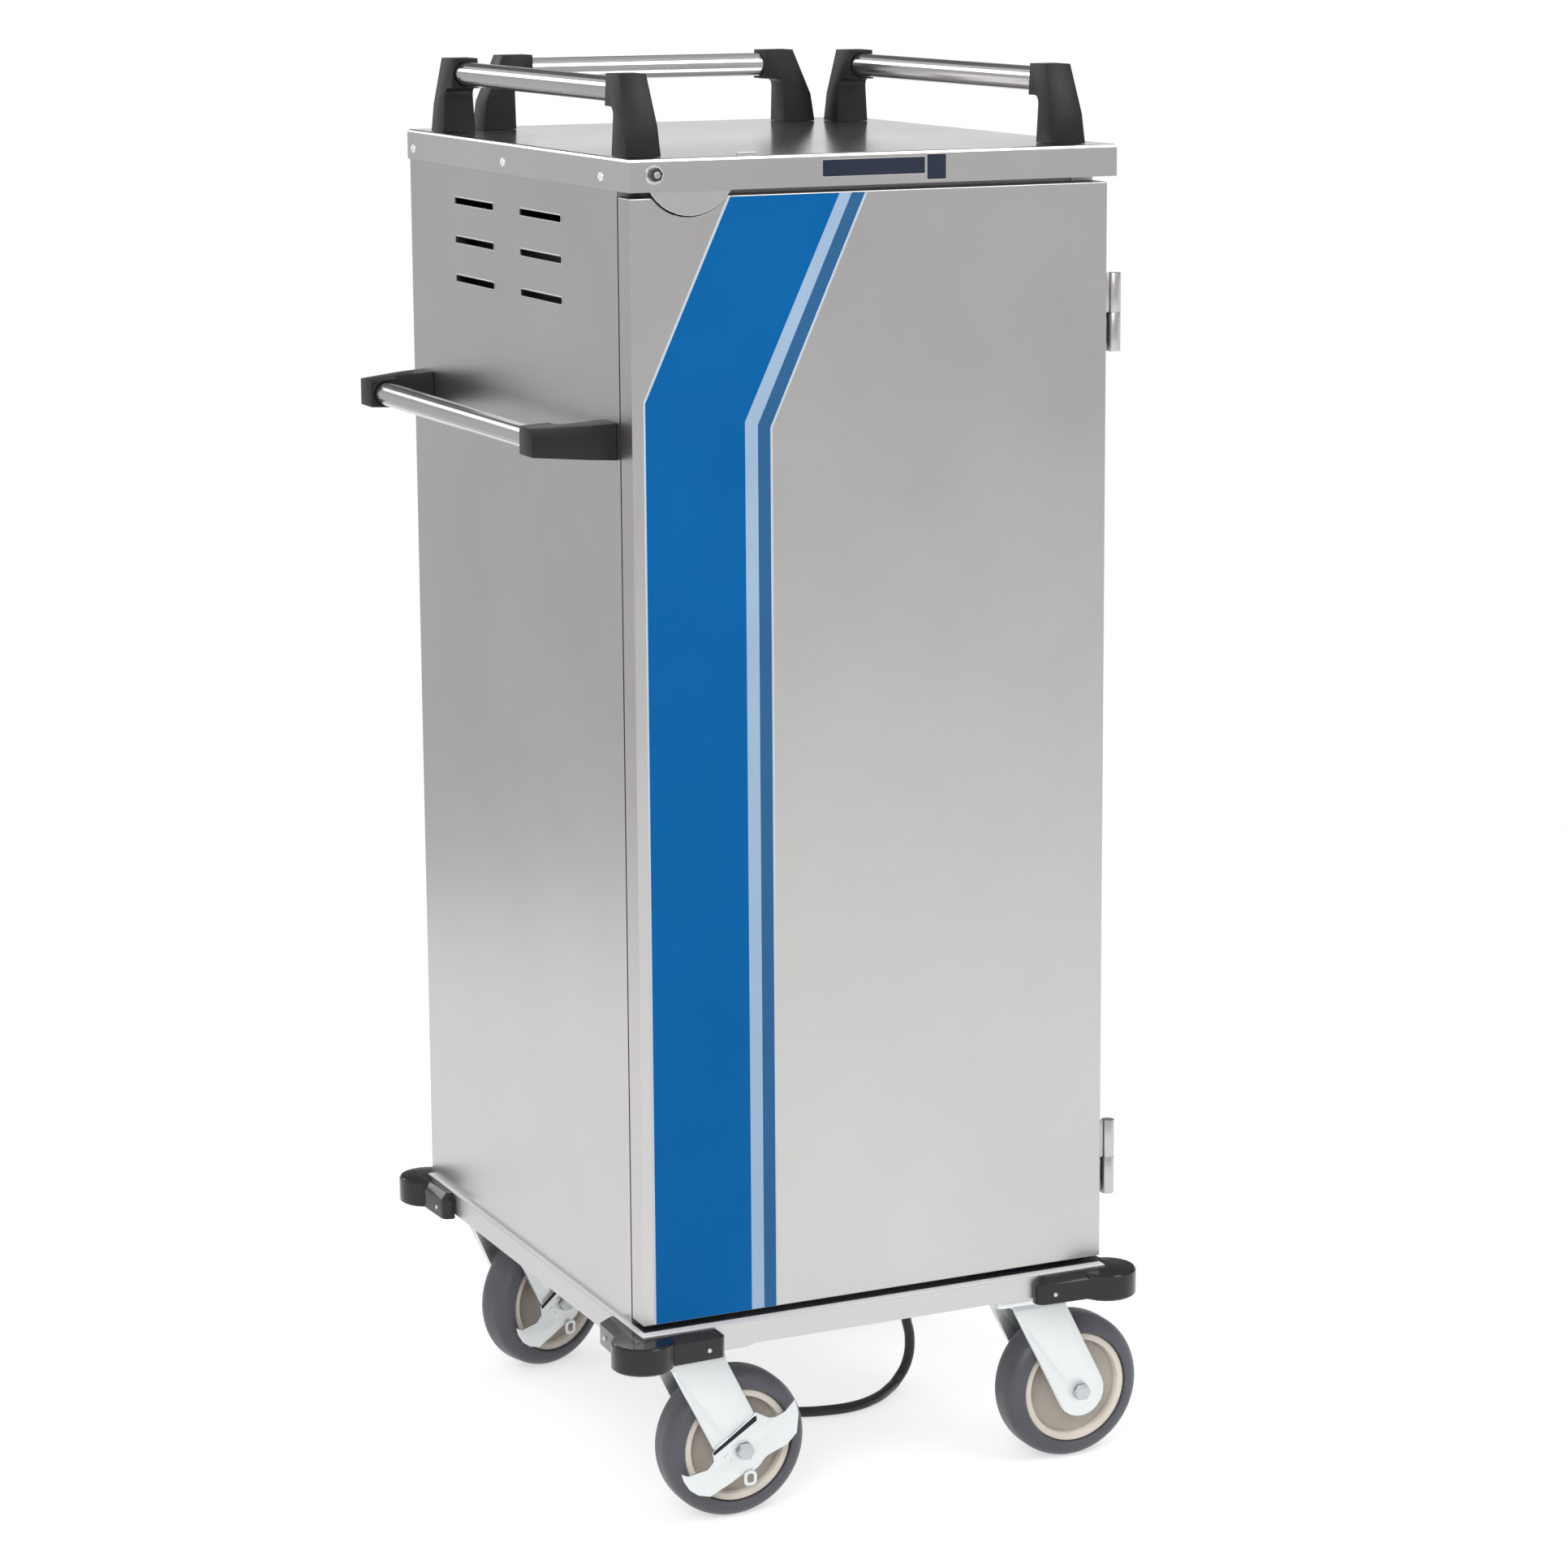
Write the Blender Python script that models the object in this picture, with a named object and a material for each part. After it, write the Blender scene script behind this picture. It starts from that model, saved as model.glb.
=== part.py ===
"""Tray delivery cart: a tall steel cabinet on four swivel casters.

A hinged door with a lift latch closes the front. Three tube rails stand on the
top cover, a push handle is on the left side, and moulded bumpers guard the
corners of the base frame. A power cord leaves the heater box under the floor.

Cart coordinates: x runs right from the left side of the cabinet, y runs back
from the front of the top cover, z runs up from the floor. The origin of the
finished part is on the floor, in the middle of the cart's outer box.
"""

import math

import bmesh
import bpy
from mathutils import Matrix, Vector

# Cabinet
BODY_WIDTH = 0.531
BODY_DEPTH = 0.632
CAP_TOP = 1.4235
CAP_APRON = 0.0326
CAP_SIDE_OVERHANG = 0.002
CAP_HINGE_OVERHANG = 0.008
CAP_FOLD = 0.003
SHEET = 0.0015
PANEL_FLANGE = 0.025
PANEL_SEAM = 0.002
BACK_FLANGE = 0.012
HEADER_HEIGHT = 0.050
HEADER_DEPTH = 0.030
FLOOR_LIP = 0.012
SEAT_GAP = 0.0003

# Vent slots in the left side
SLOT_LENGTH = 0.114
SLOT_HEIGHT = 0.0068
SLOT_CORNER = 0.0015
SLOT_ROWS = 3
SLOT_COLUMNS = 2
SLOT_ROW_STEP = 0.0416
SLOT_COLUMN_STEP = 0.191
SLOT_TOP_DROP = 0.0697
SLOT_BACK_SHIFT = 0.004

# Base frame
FRAME_HEIGHT = 0.025
FRAME_PROUD = 0.006
FRAME_RIGHT_PROUD = 0.001
FRAME_BACK_SHORT = 0.003
FRAME_FLANGE = 0.034
FRAME_SHEET = 0.0025
PAD_LENGTH = 0.104
PAD_WIDTH = 0.118
PAD_THICKNESS = 0.006

# Casters
WHEEL_RADIUS = 0.0803
CASTER_HEIGHT = 0.1983
CASTER_TRAIL = 0.0525
CASTER_SIDE_INSET = 0.065
CASTER_END_INSET = 0.064
REAR_LEFT_SWIVEL_DEG = 18.0
TOP_PLATE_LENGTH = 0.100
TOP_PLATE_WIDTH = 0.114
TOP_PLATE_THICKNESS = 0.006
TOP_PLATE_CORNER = 0.008
RACE_RADIUS = 0.034
RACE_HEIGHT = 0.005
KINGPIN_RADIUS = 0.007
KINGPIN_HEAD_RADIUS = 0.012
KINGPIN_HEAD_HEIGHT = 0.005
FORK_SHEET = 0.0048
FORK_INNER_WIDTH = 0.0635
FORK_CROWN_FRONT = 0.034
FORK_CROWN_BACK = 0.0285
FORK_END_RADIUS = 0.0282
FORK_FOLD = 0.006
AXLE_RADIUS = 0.006
AXLE_HEAD_RADIUS = 0.0095
AXLE_HEAD_HEIGHT = 0.006
TYRE_WIDTH = 0.0508
TYRE_THICKNESS = 0.0189
TYRE_SHOULDER = 0.019
TYRE_SHOULDER_STEPS = 4
HUB_RIM_THICKNESS = 0.008
HUB_RIM_WIDTH = 0.044
HUB_WEB_THICKNESS = 0.008
HUB_WEB_RECESS = 0.010
HUB_BOSS_RADIUS = 0.019
WHEEL_SIDES = 32
BRAKE_SHEET = 0.003
BRAKE_HALF_LENGTH = 0.0665
RUNNING_GAP = 0.0004

# Corner bumpers
PUCK_RADIUS = 0.033
PUCK_DROP = 0.006
PUCK_EDGE = 0.002
BUMPER_ARM = 0.088
BUMPER_TIP_THICKNESS = 0.014
BUMPER_ROOT_THICKNESS = 0.018
BUMPER_END_ROUND = 0.009
BUMPER_DROP = 0.0015
BUMPER_SLOPE_DROP = 0.0065
BUMPER_SLOPE_INSET = 0.008
BUMPER_UNDERHANG = 0.0045

# Moulded brackets, one pattern for the three rails and the push handle
BRACKET_HEIGHT = 0.080
BRACKET_FOOT_LENGTH = 0.038
BRACKET_FOOT_WIDTH = 0.037
BRACKET_KINK_HEIGHT = 0.030
BRACKET_KINK_INSET = 0.004
BRACKET_KINK_WIDTH = 0.0335
BRACKET_TOP_INSET = 0.025
BRACKET_TOP_WIDTH = 0.0285
BRACKET_HEAD_REACH = 0.060
BRACKET_HEAD_HEIGHT = 0.032
BRACKET_THROAT = 0.008
BRACKET_EDGE = 0.0015
BAR_RADIUS = 0.0127
BAR_WALL = 0.0015
BAR_HEIGHT = 0.0636
BAR_SOCKET_DEPTH = 0.016
BAR_SIDES = 24

# Where the rails and the handle stand
LEFT_RAIL_INSET = 0.0035
RIGHT_RAIL_INSET = 0.018
SIDE_RAIL_FRONT = 0.020
SIDE_RAIL_BACK = 0.062
BACK_RAIL_INSET = 0.031
BACK_RAIL_LEFT_END = 0.0625
BACK_RAIL_RIGHT_END = 0.0690
HANDLE_HEIGHT = 1.1426
HANDLE_FRONT = 0.045
HANDLE_BACK = 0.025

# Door
DOOR_FRONT = 0.005
DOOR_THICKNESS = 0.030
DOOR_SEAM = 0.002
DOOR_BOTTOM_GAP = 0.0074
DOOR_TOP_GAP = 0.006
DOOR_INNER_FLANGE = 0.012
DOOR_SHEET = 0.0015

# Hinges
HINGE_OUT = 0.0115
HINGE_BACK = 0.005
HINGE_RADIUS = 0.007
HINGE_PIN_RADIUS = 0.0035
HINGE_HALF = 0.0405
HINGE_JOINT_GAP = 0.0003
HINGE_PIN_REACH = 0.030
HINGE_LEAF = 0.0025
HINGE_LEAF_REACH = 0.060
HINGE_DOOR_LEAF_REACH = 0.022
HINGE_TOP_DROP = 0.1344
HINGE_BOTTOM_RISE = 0.1081
HINGE_SIDES = 16

# Turned pieces
BOLT_SIDES = 12
BORE_SIDES = 12

# Latch
LATCH_PIVOT_X = 0.0245
LATCH_PIVOT_DROP = 0.0154
LATCH_SHEET = 0.002
LATCH_GAP = 0.0005
LATCH_BELLY_RADIUS = 0.0508
LATCH_BELLY_X = 0.0395
LATCH_BELLY_Z = 0.0092
LATCH_LIFT_DEG = 15.0
LATCH_ROOM = 0.001
LATCH_ARM_BOTTOM = 0.0165
LATCH_TAB_LEFT = 0.0895
LATCH_TAB_WIDTH = 0.021
LATCH_TAB_PROUD = 0.0037
LATCH_SHOULDER = 0.0065
LATCH_NOTCH_GAP = 0.0012
LATCH_SLOT_ROOM = 0.010
BOLT_RADIUS = 0.004
BOLT_HEX_RADIUS = 0.0072
BOLT_HEX_HEIGHT = 0.005
BOLT_WASHER_RADIUS = 0.0095
BOLT_WASHER_HEIGHT = 0.0015
BOLT_NUT_HEIGHT = 0.004

# Tray racks
RACK_INNER_WIDTH = 0.392
RACK_SHEET = 0.0015
RACK_LEDGES = 8
RACK_LEDGE_STEP = 0.127
RACK_LEDGE_REACH = 0.024
RACK_FIRST_LEDGE = 0.085
RACK_BOTTOM_GAP = 0.020
RACK_TOP = 1.338
RACK_FRONT_GAP = 0.010
RACK_BACK_GAP = 0.008

# Heater box and power cord
HEATER_LEFT = 0.150
HEATER_WIDTH = 0.335
HEATER_FRONT = 0.180
HEATER_LENGTH = 0.250
HEATER_HEIGHT = 0.055
GLAND_SIDE_INSET = 0.028
GLAND_FRONT_INSET = 0.144
GLAND_NECK_RADIUS = 0.009
GLAND_NECK_HEIGHT = 0.007
GLAND_HEX_RADIUS = 0.015
GLAND_NUT_HEIGHT = 0.005
GLAND_BODY_HEIGHT = 0.012
GLAND_RELIEF_LENGTH = 0.034
CORD_RADIUS = 0.00575
CORD_FLOOR = 0.006
CORD_FALL = (
    (0.000, 0.0, 0.080),
    (0.0045, 0.0, 0.056),
    (0.000, -0.002, 0.028),
    (-0.015, -0.007, 0.010),
)
CORD_SWEEP = (
    (-0.032, -0.020),
    (-0.060, -0.042),
    (-0.092, -0.054),
    (-0.124, -0.053),
    (-0.157, -0.043),
    (-0.192, -0.020),
    (-0.216, 0.018),
    (-0.226, 0.080),
    (-0.222, 0.160),
    (-0.202, 0.250),
    (-0.180, 0.340),
)
COIL_CENTRE_X = 0.360
COIL_BEHIND = 0.149
COIL_TURNS = 4.25
CORD_STRAIGHT = 0.060
COIL_INNER_RADIUS = 0.052
COIL_LOOP_GAP = 0.0010
COIL_POINTS_PER_LOOP = 24
COIL_LEAD_IN = 0.022
COIL_LEAD_OUT = 0.050
COIL_DROP_LENGTH = 0.030
PLUG_AXIS_HEIGHT = 0.0150
PLUG_LENGTH = 0.042
PLUG_HALF_WIDTH = 0.0175
PLUG_RELIEF_LENGTH = 0.028
BLADE_LENGTH = 0.0175

# Places that follow from the sizes above
FRAME_BOTTOM = CASTER_HEIGHT + SEAT_GAP + PAD_THICKNESS
FRAME_TOP = FRAME_BOTTOM + FRAME_HEIGHT
FRAME_RIGHT = BODY_WIDTH + FRAME_RIGHT_PROUD
FRAME_BACK = BODY_DEPTH - FRAME_BACK_SHORT
PANEL_BOTTOM = FRAME_TOP + SEAT_GAP
PANEL_TOP = CAP_TOP - SHEET - SEAT_GAP
APRON_BOTTOM = CAP_TOP - CAP_APRON
DOOR_BOTTOM = FRAME_TOP + DOOR_BOTTOM_GAP
DOOR_TOP = APRON_BOTTOM - DOOR_TOP_GAP
DOOR_BACK = DOOR_FRONT + DOOR_THICKNESS
HINGE_CENTRES = (DOOR_TOP - HINGE_TOP_DROP, DOOR_BOTTOM + HINGE_BOTTOM_RISE)
PANEL_FRONT = DOOR_BACK + DOOR_SEAM
PANEL_BACK = BODY_DEPTH - PANEL_SEAM
FLOOR_PAN_Z = PANEL_BOTTOM + SHEET + SEAT_GAP
GLAND_PLACE = (HEATER_LEFT + HEATER_WIDTH - GLAND_SIDE_INSET, HEATER_FRONT + GLAND_FRONT_INSET)
COIL_CENTRE = (COIL_CENTRE_X, BODY_DEPTH + COIL_BEHIND)
HANDLE_REACH = BRACKET_HEIGHT + SEAT_GAP
WHEEL_REACH = CASTER_TRAIL + WHEEL_RADIUS - CASTER_SIDE_INSET
BUMPER_REACH = FRAME_RIGHT_PROUD + PUCK_RADIUS
BUMPER_FRONT_REACH = FRAME_PROUD + PUCK_RADIUS
OVERALL_WIDTH = HANDLE_REACH + BODY_WIDTH + max(WHEEL_REACH, BUMPER_REACH)
OVERALL_DEPTH = BUMPER_FRONT_REACH + FRAME_BACK + PUCK_RADIUS
BODY_LEFT = HANDLE_REACH - OVERALL_WIDTH / 2
BODY_FRONT = BUMPER_FRONT_REACH - OVERALL_DEPTH / 2
LATCH_PIVOT_Z = CAP_TOP - LATCH_PIVOT_DROP
LATCH_FRONT = SHEET + LATCH_GAP
HINGE_X = BODY_WIDTH + HINGE_OUT
HINGE_Y = DOOR_FRONT + HINGE_BACK
FORK_HALF = FORK_INNER_WIDTH / 2 + FORK_SHEET
CROWN_TOP = CASTER_HEIGHT - TOP_PLATE_THICKNESS - RACE_HEIGHT - SEAT_GAP
CROWN_BOTTOM = CROWN_TOP - FORK_SHEET - SEAT_GAP


def clear_scene():
    """Remove whatever the file opened with."""
    for thing in list(bpy.data.objects):
        bpy.data.objects.remove(thing)


def material(name, colour, roughness, metallic):
    """One Principled material."""
    made = bpy.data.materials.new(name)
    made.use_nodes = True
    shader = made.node_tree.nodes["Principled BSDF"]
    shader.inputs["Base Color"].default_value = (*colour, 1.0)
    shader.inputs["Roughness"].default_value = roughness
    shader.inputs["Metallic"].default_value = metallic
    made.diffuse_color = (*colour, 1.0)
    return made


def satin_steel(name):
    return material(name, (0.52, 0.52, 0.51), 0.34, 1.0)


def bright_steel(name):
    return material(name, (0.74, 0.75, 0.75), 0.16, 1.0)


def black_plastic(name):
    return material(name, (0.025, 0.026, 0.030), 0.42, 0.0)


def black_rubber(name):
    return material(name, (0.012, 0.012, 0.015), 0.22, 0.0)


def zinc_plate(name):
    return material(name, (0.70, 0.72, 0.73), 0.28, 1.0)


def tyre_grey(name):
    return material(name, (0.115, 0.115, 0.135), 0.55, 0.0)


def hub_cream(name):
    return material(name, (0.62, 0.56, 0.47), 0.45, 0.0)


def cord_black(name):
    return material(name, (0.020, 0.020, 0.022), 0.5, 0.0)


def empty(name, place, parent=None):
    """Bare axes that carry a moving group."""
    axes = bpy.data.objects.new(name, None)
    axes.location = place
    axes.parent = parent
    bpy.context.collection.objects.link(axes)
    return axes


def finish_mesh(name, shape, smooth_angle=None):
    """Turn a bmesh into a mesh with outward normals."""
    bmesh.ops.recalc_face_normals(shape, faces=shape.faces)
    mesh = bpy.data.meshes.new(name)
    shape.to_mesh(mesh)
    shape.free()
    if smooth_angle is not None:
        mesh.shade_smooth()
        mesh.set_sharp_from_angle(angle=math.radians(smooth_angle))
    return mesh


def add_object(name, mesh, look, place=(0, 0, 0), parent=None):
    """Stand one mesh in the scene under a name of its own."""
    thing = bpy.data.objects.new(name, mesh)
    thing.location = place
    thing.parent = parent
    if not mesh.materials:
        mesh.materials.append(look)
    bpy.context.collection.objects.link(thing)
    return thing


def combined(mesh, tools, operation):
    """The mesh after a Boolean with each tool mesh in turn."""
    base = bpy.data.objects.new("base", mesh)
    bpy.context.collection.objects.link(base)
    helpers = []
    for tool in tools:
        helper = bpy.data.objects.new("tool", tool)
        helper.hide_render = True
        helper.display_type = "WIRE"
        bpy.context.collection.objects.link(helper)
        helpers.append(helper)
        change = base.modifiers.new("change", "BOOLEAN")
        change.operation = operation
        change.solver = "EXACT"
        change.object = helper
    graph = bpy.context.evaluated_depsgraph_get()
    result = bpy.data.meshes.new_from_object(base.evaluated_get(graph))
    result.name = mesh.name
    for thing in [base, *helpers]:
        bpy.data.objects.remove(thing)
    return result


def cut(mesh, tools):
    return combined(mesh, tools, "DIFFERENCE")


def joined(mesh, tools):
    return combined(mesh, tools, "UNION")


def bevel_edges(shape, edges, width, segments):
    bmesh.ops.bevel(
        shape,
        geom=edges,
        offset=width,
        offset_type="OFFSET",
        segments=segments,
        profile=0.5,
        affect="EDGES",
        clamp_overlap=True,
    )


def arc(centre, radius, start_deg, end_deg, steps):
    """Points along a circle, both ends included."""
    points = []
    for step in range(steps + 1):
        angle = math.radians(start_deg + (end_deg - start_deg) * step / steps)
        points.append((centre[0] + radius * math.cos(angle), centre[1] + radius * math.sin(angle)))
    return points


def rectangle(left, low, right, high):
    return [(left, low), (right, low), (right, high), (left, high)]


def rounded_rectangle(left, low, right, high, radius, steps=3):
    """A rectangle whose corners are arcs."""
    outline = []
    outline += arc((right - radius, low + radius), radius, -90, 0, steps)
    outline += arc((right - radius, high - radius), radius, 0, 90, steps)
    outline += arc((left + radius, high - radius), radius, 90, 180, steps)
    outline += arc((left + radius, low + radius), radius, 180, 270, steps)
    return outline


def inset_outline(outline, distance):
    """The outline drawn in by one distance, for an outline that runs anticlockwise."""
    count = len(outline)
    result = []
    for index in range(count):
        here = Vector(outline[index])
        before = (here - Vector(outline[index - 1])).normalized()
        after = (Vector(outline[(index + 1) % count]) - here).normalized()
        inward_before = Vector((-before.y, before.x))
        inward_after = Vector((-after.y, after.x))
        mitre = inward_before + inward_after
        mitre *= distance / (1.0 + inward_before.dot(inward_after))
        result.append((here.x + mitre.x, here.y + mitre.y))
    return result


def bridge_loops(shape, lower, upper):
    """Quads between two closed rings of vertices."""
    count = len(lower)
    for index in range(count):
        after = (index + 1) % count
        shape.faces.new((lower[index], lower[after], upper[after], upper[index]))


def loop_at(shape, outline, height):
    return [shape.verts.new((x, y, height)) for x, y in outline]


def prism(outline, low, high):
    """A flat outline in x and y drawn up along z."""
    shape = bmesh.new()
    bottom = loop_at(shape, outline, low)
    top = loop_at(shape, outline, high)
    shape.faces.new(bottom)
    shape.faces.new(top)
    bridge_loops(shape, bottom, top)
    return shape


def pan(outline, depth, sheet, fold=0.0, fold_steps=2):
    """A sheet-metal pan: closed at z = 0, its walls standing up along z."""
    shape = bmesh.new()
    loops = []
    if fold > 0.0:
        for step in range(fold_steps):
            angle = math.radians(90.0 * step / fold_steps)
            inset = fold * (1.0 - math.sin(angle))
            height = fold * (1.0 - math.cos(angle))
            loops.append(loop_at(shape, inset_outline(outline, inset), height))
    loops.append(loop_at(shape, outline, fold))
    loops.append(loop_at(shape, outline, depth))
    inner = inset_outline(outline, sheet)
    loops.append(loop_at(shape, inner, depth))
    loops.append(loop_at(shape, inner, sheet))
    shape.faces.new(loops[0])
    shape.faces.new(loops[-1])
    for lower, upper in zip(loops, loops[1:]):
        bridge_loops(shape, lower, upper)
    return shape


def frame_of(x_axis, y_axis, z_axis, place):
    """Matrix that lays local axes along the given directions."""
    turned = Matrix((x_axis, y_axis, z_axis)).transposed().to_4x4()
    return Matrix.Translation(place) @ turned


def ring_stack(rings, sides):
    """A solid of revolution about z that closes flat at both ends.

    Each ring is a height, a radius and whether it is a hexagon.
    """
    shape = bmesh.new()
    loops = []
    for height, radius, is_hexagon in rings:
        loop = []
        for side in range(sides):
            angle = 2 * math.pi * side / sides
            reach = radius
            if is_hexagon:
                off_corner = angle % (math.pi / 3) - math.pi / 6
                reach = radius * math.cos(math.pi / 6) / math.cos(off_corner)
            loop.append(shape.verts.new((reach * math.cos(angle), reach * math.sin(angle), height)))
        loops.append(loop)
    shape.faces.new(loops[0])
    shape.faces.new(loops[-1])
    for lower, upper in zip(loops, loops[1:]):
        bridge_loops(shape, lower, upper)
    return shape


def turned_ring(profile, sides):
    """A closed profile of radius and height spun about z."""
    shape = bmesh.new()
    loops = []
    for side in range(sides):
        angle = 2 * math.pi * side / sides
        loops.append(
            [shape.verts.new((r * math.cos(angle), r * math.sin(angle), z)) for r, z in profile]
        )
    for index, loop in enumerate(loops):
        bridge_loops(shape, loop, loops[(index + 1) % sides])
    return shape


def cylinder(radius, low, high, sides):
    return ring_stack([(low, radius, False), (high, radius, False)], sides)


def bore_cutter(radius, low, high, sides=BORE_SIDES, gap=SEAT_GAP):
    """Cutter along z for a pin of the given radius, with its flats clear of the pin."""
    return cylinder((radius + gap) / math.cos(math.pi / sides), low, high, sides)


def build_base_frame(cart):
    """Inward-facing channel round the bottom, with a pad for each caster."""
    outer = rectangle(-FRAME_PROUD, -FRAME_PROUD, FRAME_RIGHT, FRAME_BACK)
    section = [
        (0.0, 0.0),
        (FRAME_FLANGE, 0.0),
        (FRAME_FLANGE, FRAME_SHEET),
        (FRAME_SHEET, FRAME_SHEET),
        (FRAME_SHEET, FRAME_HEIGHT - FRAME_SHEET),
        (FRAME_FLANGE, FRAME_HEIGHT - FRAME_SHEET),
        (FRAME_FLANGE, FRAME_HEIGHT),
        (0.0, FRAME_HEIGHT),
    ]
    shape = bmesh.new()
    loops = [loop_at(shape, inset_outline(outer, inset), FRAME_BOTTOM + up) for inset, up in section]
    for index, loop in enumerate(loops):
        bridge_loops(shape, loop, loops[(index + 1) % len(loops)])
    ring = finish_mesh("base_frame", shape)
    pads = []
    for x, y in caster_places().values():
        outline = rectangle(
            x - PAD_WIDTH / 2, y - PAD_LENGTH / 2, x + PAD_WIDTH / 2, y + PAD_LENGTH / 2
        )
        low = FRAME_BOTTOM - PAD_THICKNESS
        pads.append(finish_mesh("pad", prism(outline, low, FRAME_BOTTOM + FRAME_SHEET / 2)))
    add_object("base_frame", joined(ring, pads), satin_steel("frame_steel"), parent=cart)


def caster_places():
    """Swivel axes of the four casters."""
    left = CASTER_SIDE_INSET
    right = BODY_WIDTH - CASTER_SIDE_INSET
    front = CASTER_END_INSET - FRAME_PROUD
    back = FRAME_BACK - CASTER_END_INSET
    return {
        "front_left": (left, front),
        "front_right": (right, front),
        "rear_left": (left, back),
        "rear_right": (right, back),
    }


def rest_swivel(name):
    """Angle in degrees at which a caster rests, about its swivel axis."""
    return REAR_LEFT_SWIVEL_DEG if name == "rear_left" else 0.0


def vent_slots():
    """Cutters for the slots in the left side panel."""
    middle = (PANEL_FRONT + PANEL_BACK) / 2 + SLOT_BACK_SHIFT
    cutters = []
    for column in range(SLOT_COLUMNS):
        y = middle + (column - (SLOT_COLUMNS - 1) / 2) * SLOT_COLUMN_STEP
        for row in range(SLOT_ROWS):
            z = CAP_TOP - SLOT_TOP_DROP - row * SLOT_ROW_STEP
            outline = rounded_rectangle(
                y - SLOT_LENGTH / 2,
                z - SLOT_HEIGHT / 2,
                y + SLOT_LENGTH / 2,
                z + SLOT_HEIGHT / 2,
                SLOT_CORNER,
                2,
            )
            shape = prism(outline, -SHEET, 2 * SHEET)
            shape.transform(frame_of((0, 1, 0), (0, 0, 1), (1, 0, 0), (0, 0, 0)))
            cutters.append(finish_mesh("slot", shape))
    return cutters


def build_side_panels(cart):
    """Side sheets with a flange folded in along all four edges."""
    outline = rectangle(PANEL_FRONT, PANEL_BOTTOM, PANEL_BACK, PANEL_TOP)
    left = pan(outline, PANEL_FLANGE, SHEET)
    left.transform(frame_of((0, 1, 0), (0, 0, 1), (1, 0, 0), (0, 0, 0)))
    right = pan(outline, PANEL_FLANGE, SHEET)
    right.transform(frame_of((0, 1, 0), (0, 0, 1), (-1, 0, 0), (BODY_WIDTH, 0, 0)))
    left_mesh = cut(finish_mesh("left_side_panel", left), vent_slots())
    look = satin_steel("side_steel")
    add_object("left_side_panel", left_mesh, look, parent=cart)
    add_object("right_side_panel", finish_mesh("right_side_panel", right), look, parent=cart)


def build_back_panel(cart):
    """Back sheet set between the side panels, with its flanges folded forward."""
    outline = rectangle(
        SHEET + SEAT_GAP,
        FLOOR_PAN_Z,
        BODY_WIDTH - SHEET - SEAT_GAP,
        PANEL_TOP - SHEET - SEAT_GAP,
    )
    shape = pan(outline, BACK_FLANGE, SHEET)
    back_face = PANEL_BACK - SHEET - SEAT_GAP
    shape.transform(frame_of((1, 0, 0), (0, 0, 1), (0, -1, 0), (0, back_face, 0)))
    add_object("back_panel", finish_mesh("back_panel", shape), satin_steel("back_steel"), parent=cart)


def build_floor_pan(cart):
    """Cabinet floor with a low upturned lip."""
    outline = rectangle(
        SHEET + SEAT_GAP,
        PANEL_FRONT + SHEET + SEAT_GAP,
        BODY_WIDTH - SHEET - SEAT_GAP,
        PANEL_BACK - SHEET - BACK_FLANGE - 2 * SEAT_GAP,
    )
    shape = pan(outline, FLOOR_LIP, SHEET)
    shape.transform(Matrix.Translation((0, 0, FLOOR_PAN_Z)))
    add_object("floor_pan", finish_mesh("floor_pan", shape), satin_steel("floor_steel"), parent=cart)


def build_header_rail(cart):
    """Channel across the top of the doorway."""
    front = PANEL_FRONT + SHEET + SEAT_GAP
    high = PANEL_TOP - SHEET - SEAT_GAP
    low = high - HEADER_HEIGHT
    back = front + HEADER_DEPTH
    outline = [
        (front, low),
        (back, low),
        (back, low + SHEET),
        (front + SHEET, low + SHEET),
        (front + SHEET, high - SHEET),
        (back, high - SHEET),
        (back, high),
        (front, high),
    ]
    shape = prism(outline, SHEET + SEAT_GAP, BODY_WIDTH - SHEET - SEAT_GAP)
    shape.transform(frame_of((0, 1, 0), (0, 0, 1), (1, 0, 0), (0, 0, 0)))
    add_object("header_rail", finish_mesh("header_rail", shape), satin_steel("header_steel"), parent=cart)


def build_top_cap(cart):
    """Top cover: a pan turned over, with the latch's slot and its pivot hole."""
    outline = rectangle(
        -CAP_SIDE_OVERHANG, 0.0, BODY_WIDTH + CAP_HINGE_OVERHANG, BODY_DEPTH
    )
    shape = pan(outline, CAP_APRON, SHEET, CAP_FOLD)
    shape.transform(Matrix.Translation((0, 0, CAP_TOP)) @ Matrix.Diagonal((1, 1, -1, 1)))
    tab_left = LATCH_PIVOT_X + LATCH_TAB_LEFT
    slot = prism(
        rectangle(
            tab_left - LATCH_SLOT_ROOM,
            LATCH_FRONT - LATCH_GAP,
            tab_left + LATCH_TAB_WIDTH + LATCH_GAP,
            LATCH_FRONT + LATCH_SHEET + LATCH_GAP,
        ),
        CAP_TOP - 2 * CAP_FOLD,
        CAP_TOP + CAP_FOLD,
    )
    hole = bore_cutter(BOLT_RADIUS, -SHEET, 2 * SHEET)
    hole.transform(
        frame_of((1, 0, 0), (0, 0, 1), (0, 1, 0), (LATCH_PIVOT_X, 0, LATCH_PIVOT_Z))
    )
    cutters = [finish_mesh("slot", slot), finish_mesh("hole", hole)]
    mesh = cut(finish_mesh("top_cap", shape), cutters)
    add_object("top_cap", mesh, satin_steel("cap_steel"), parent=cart)


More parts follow.
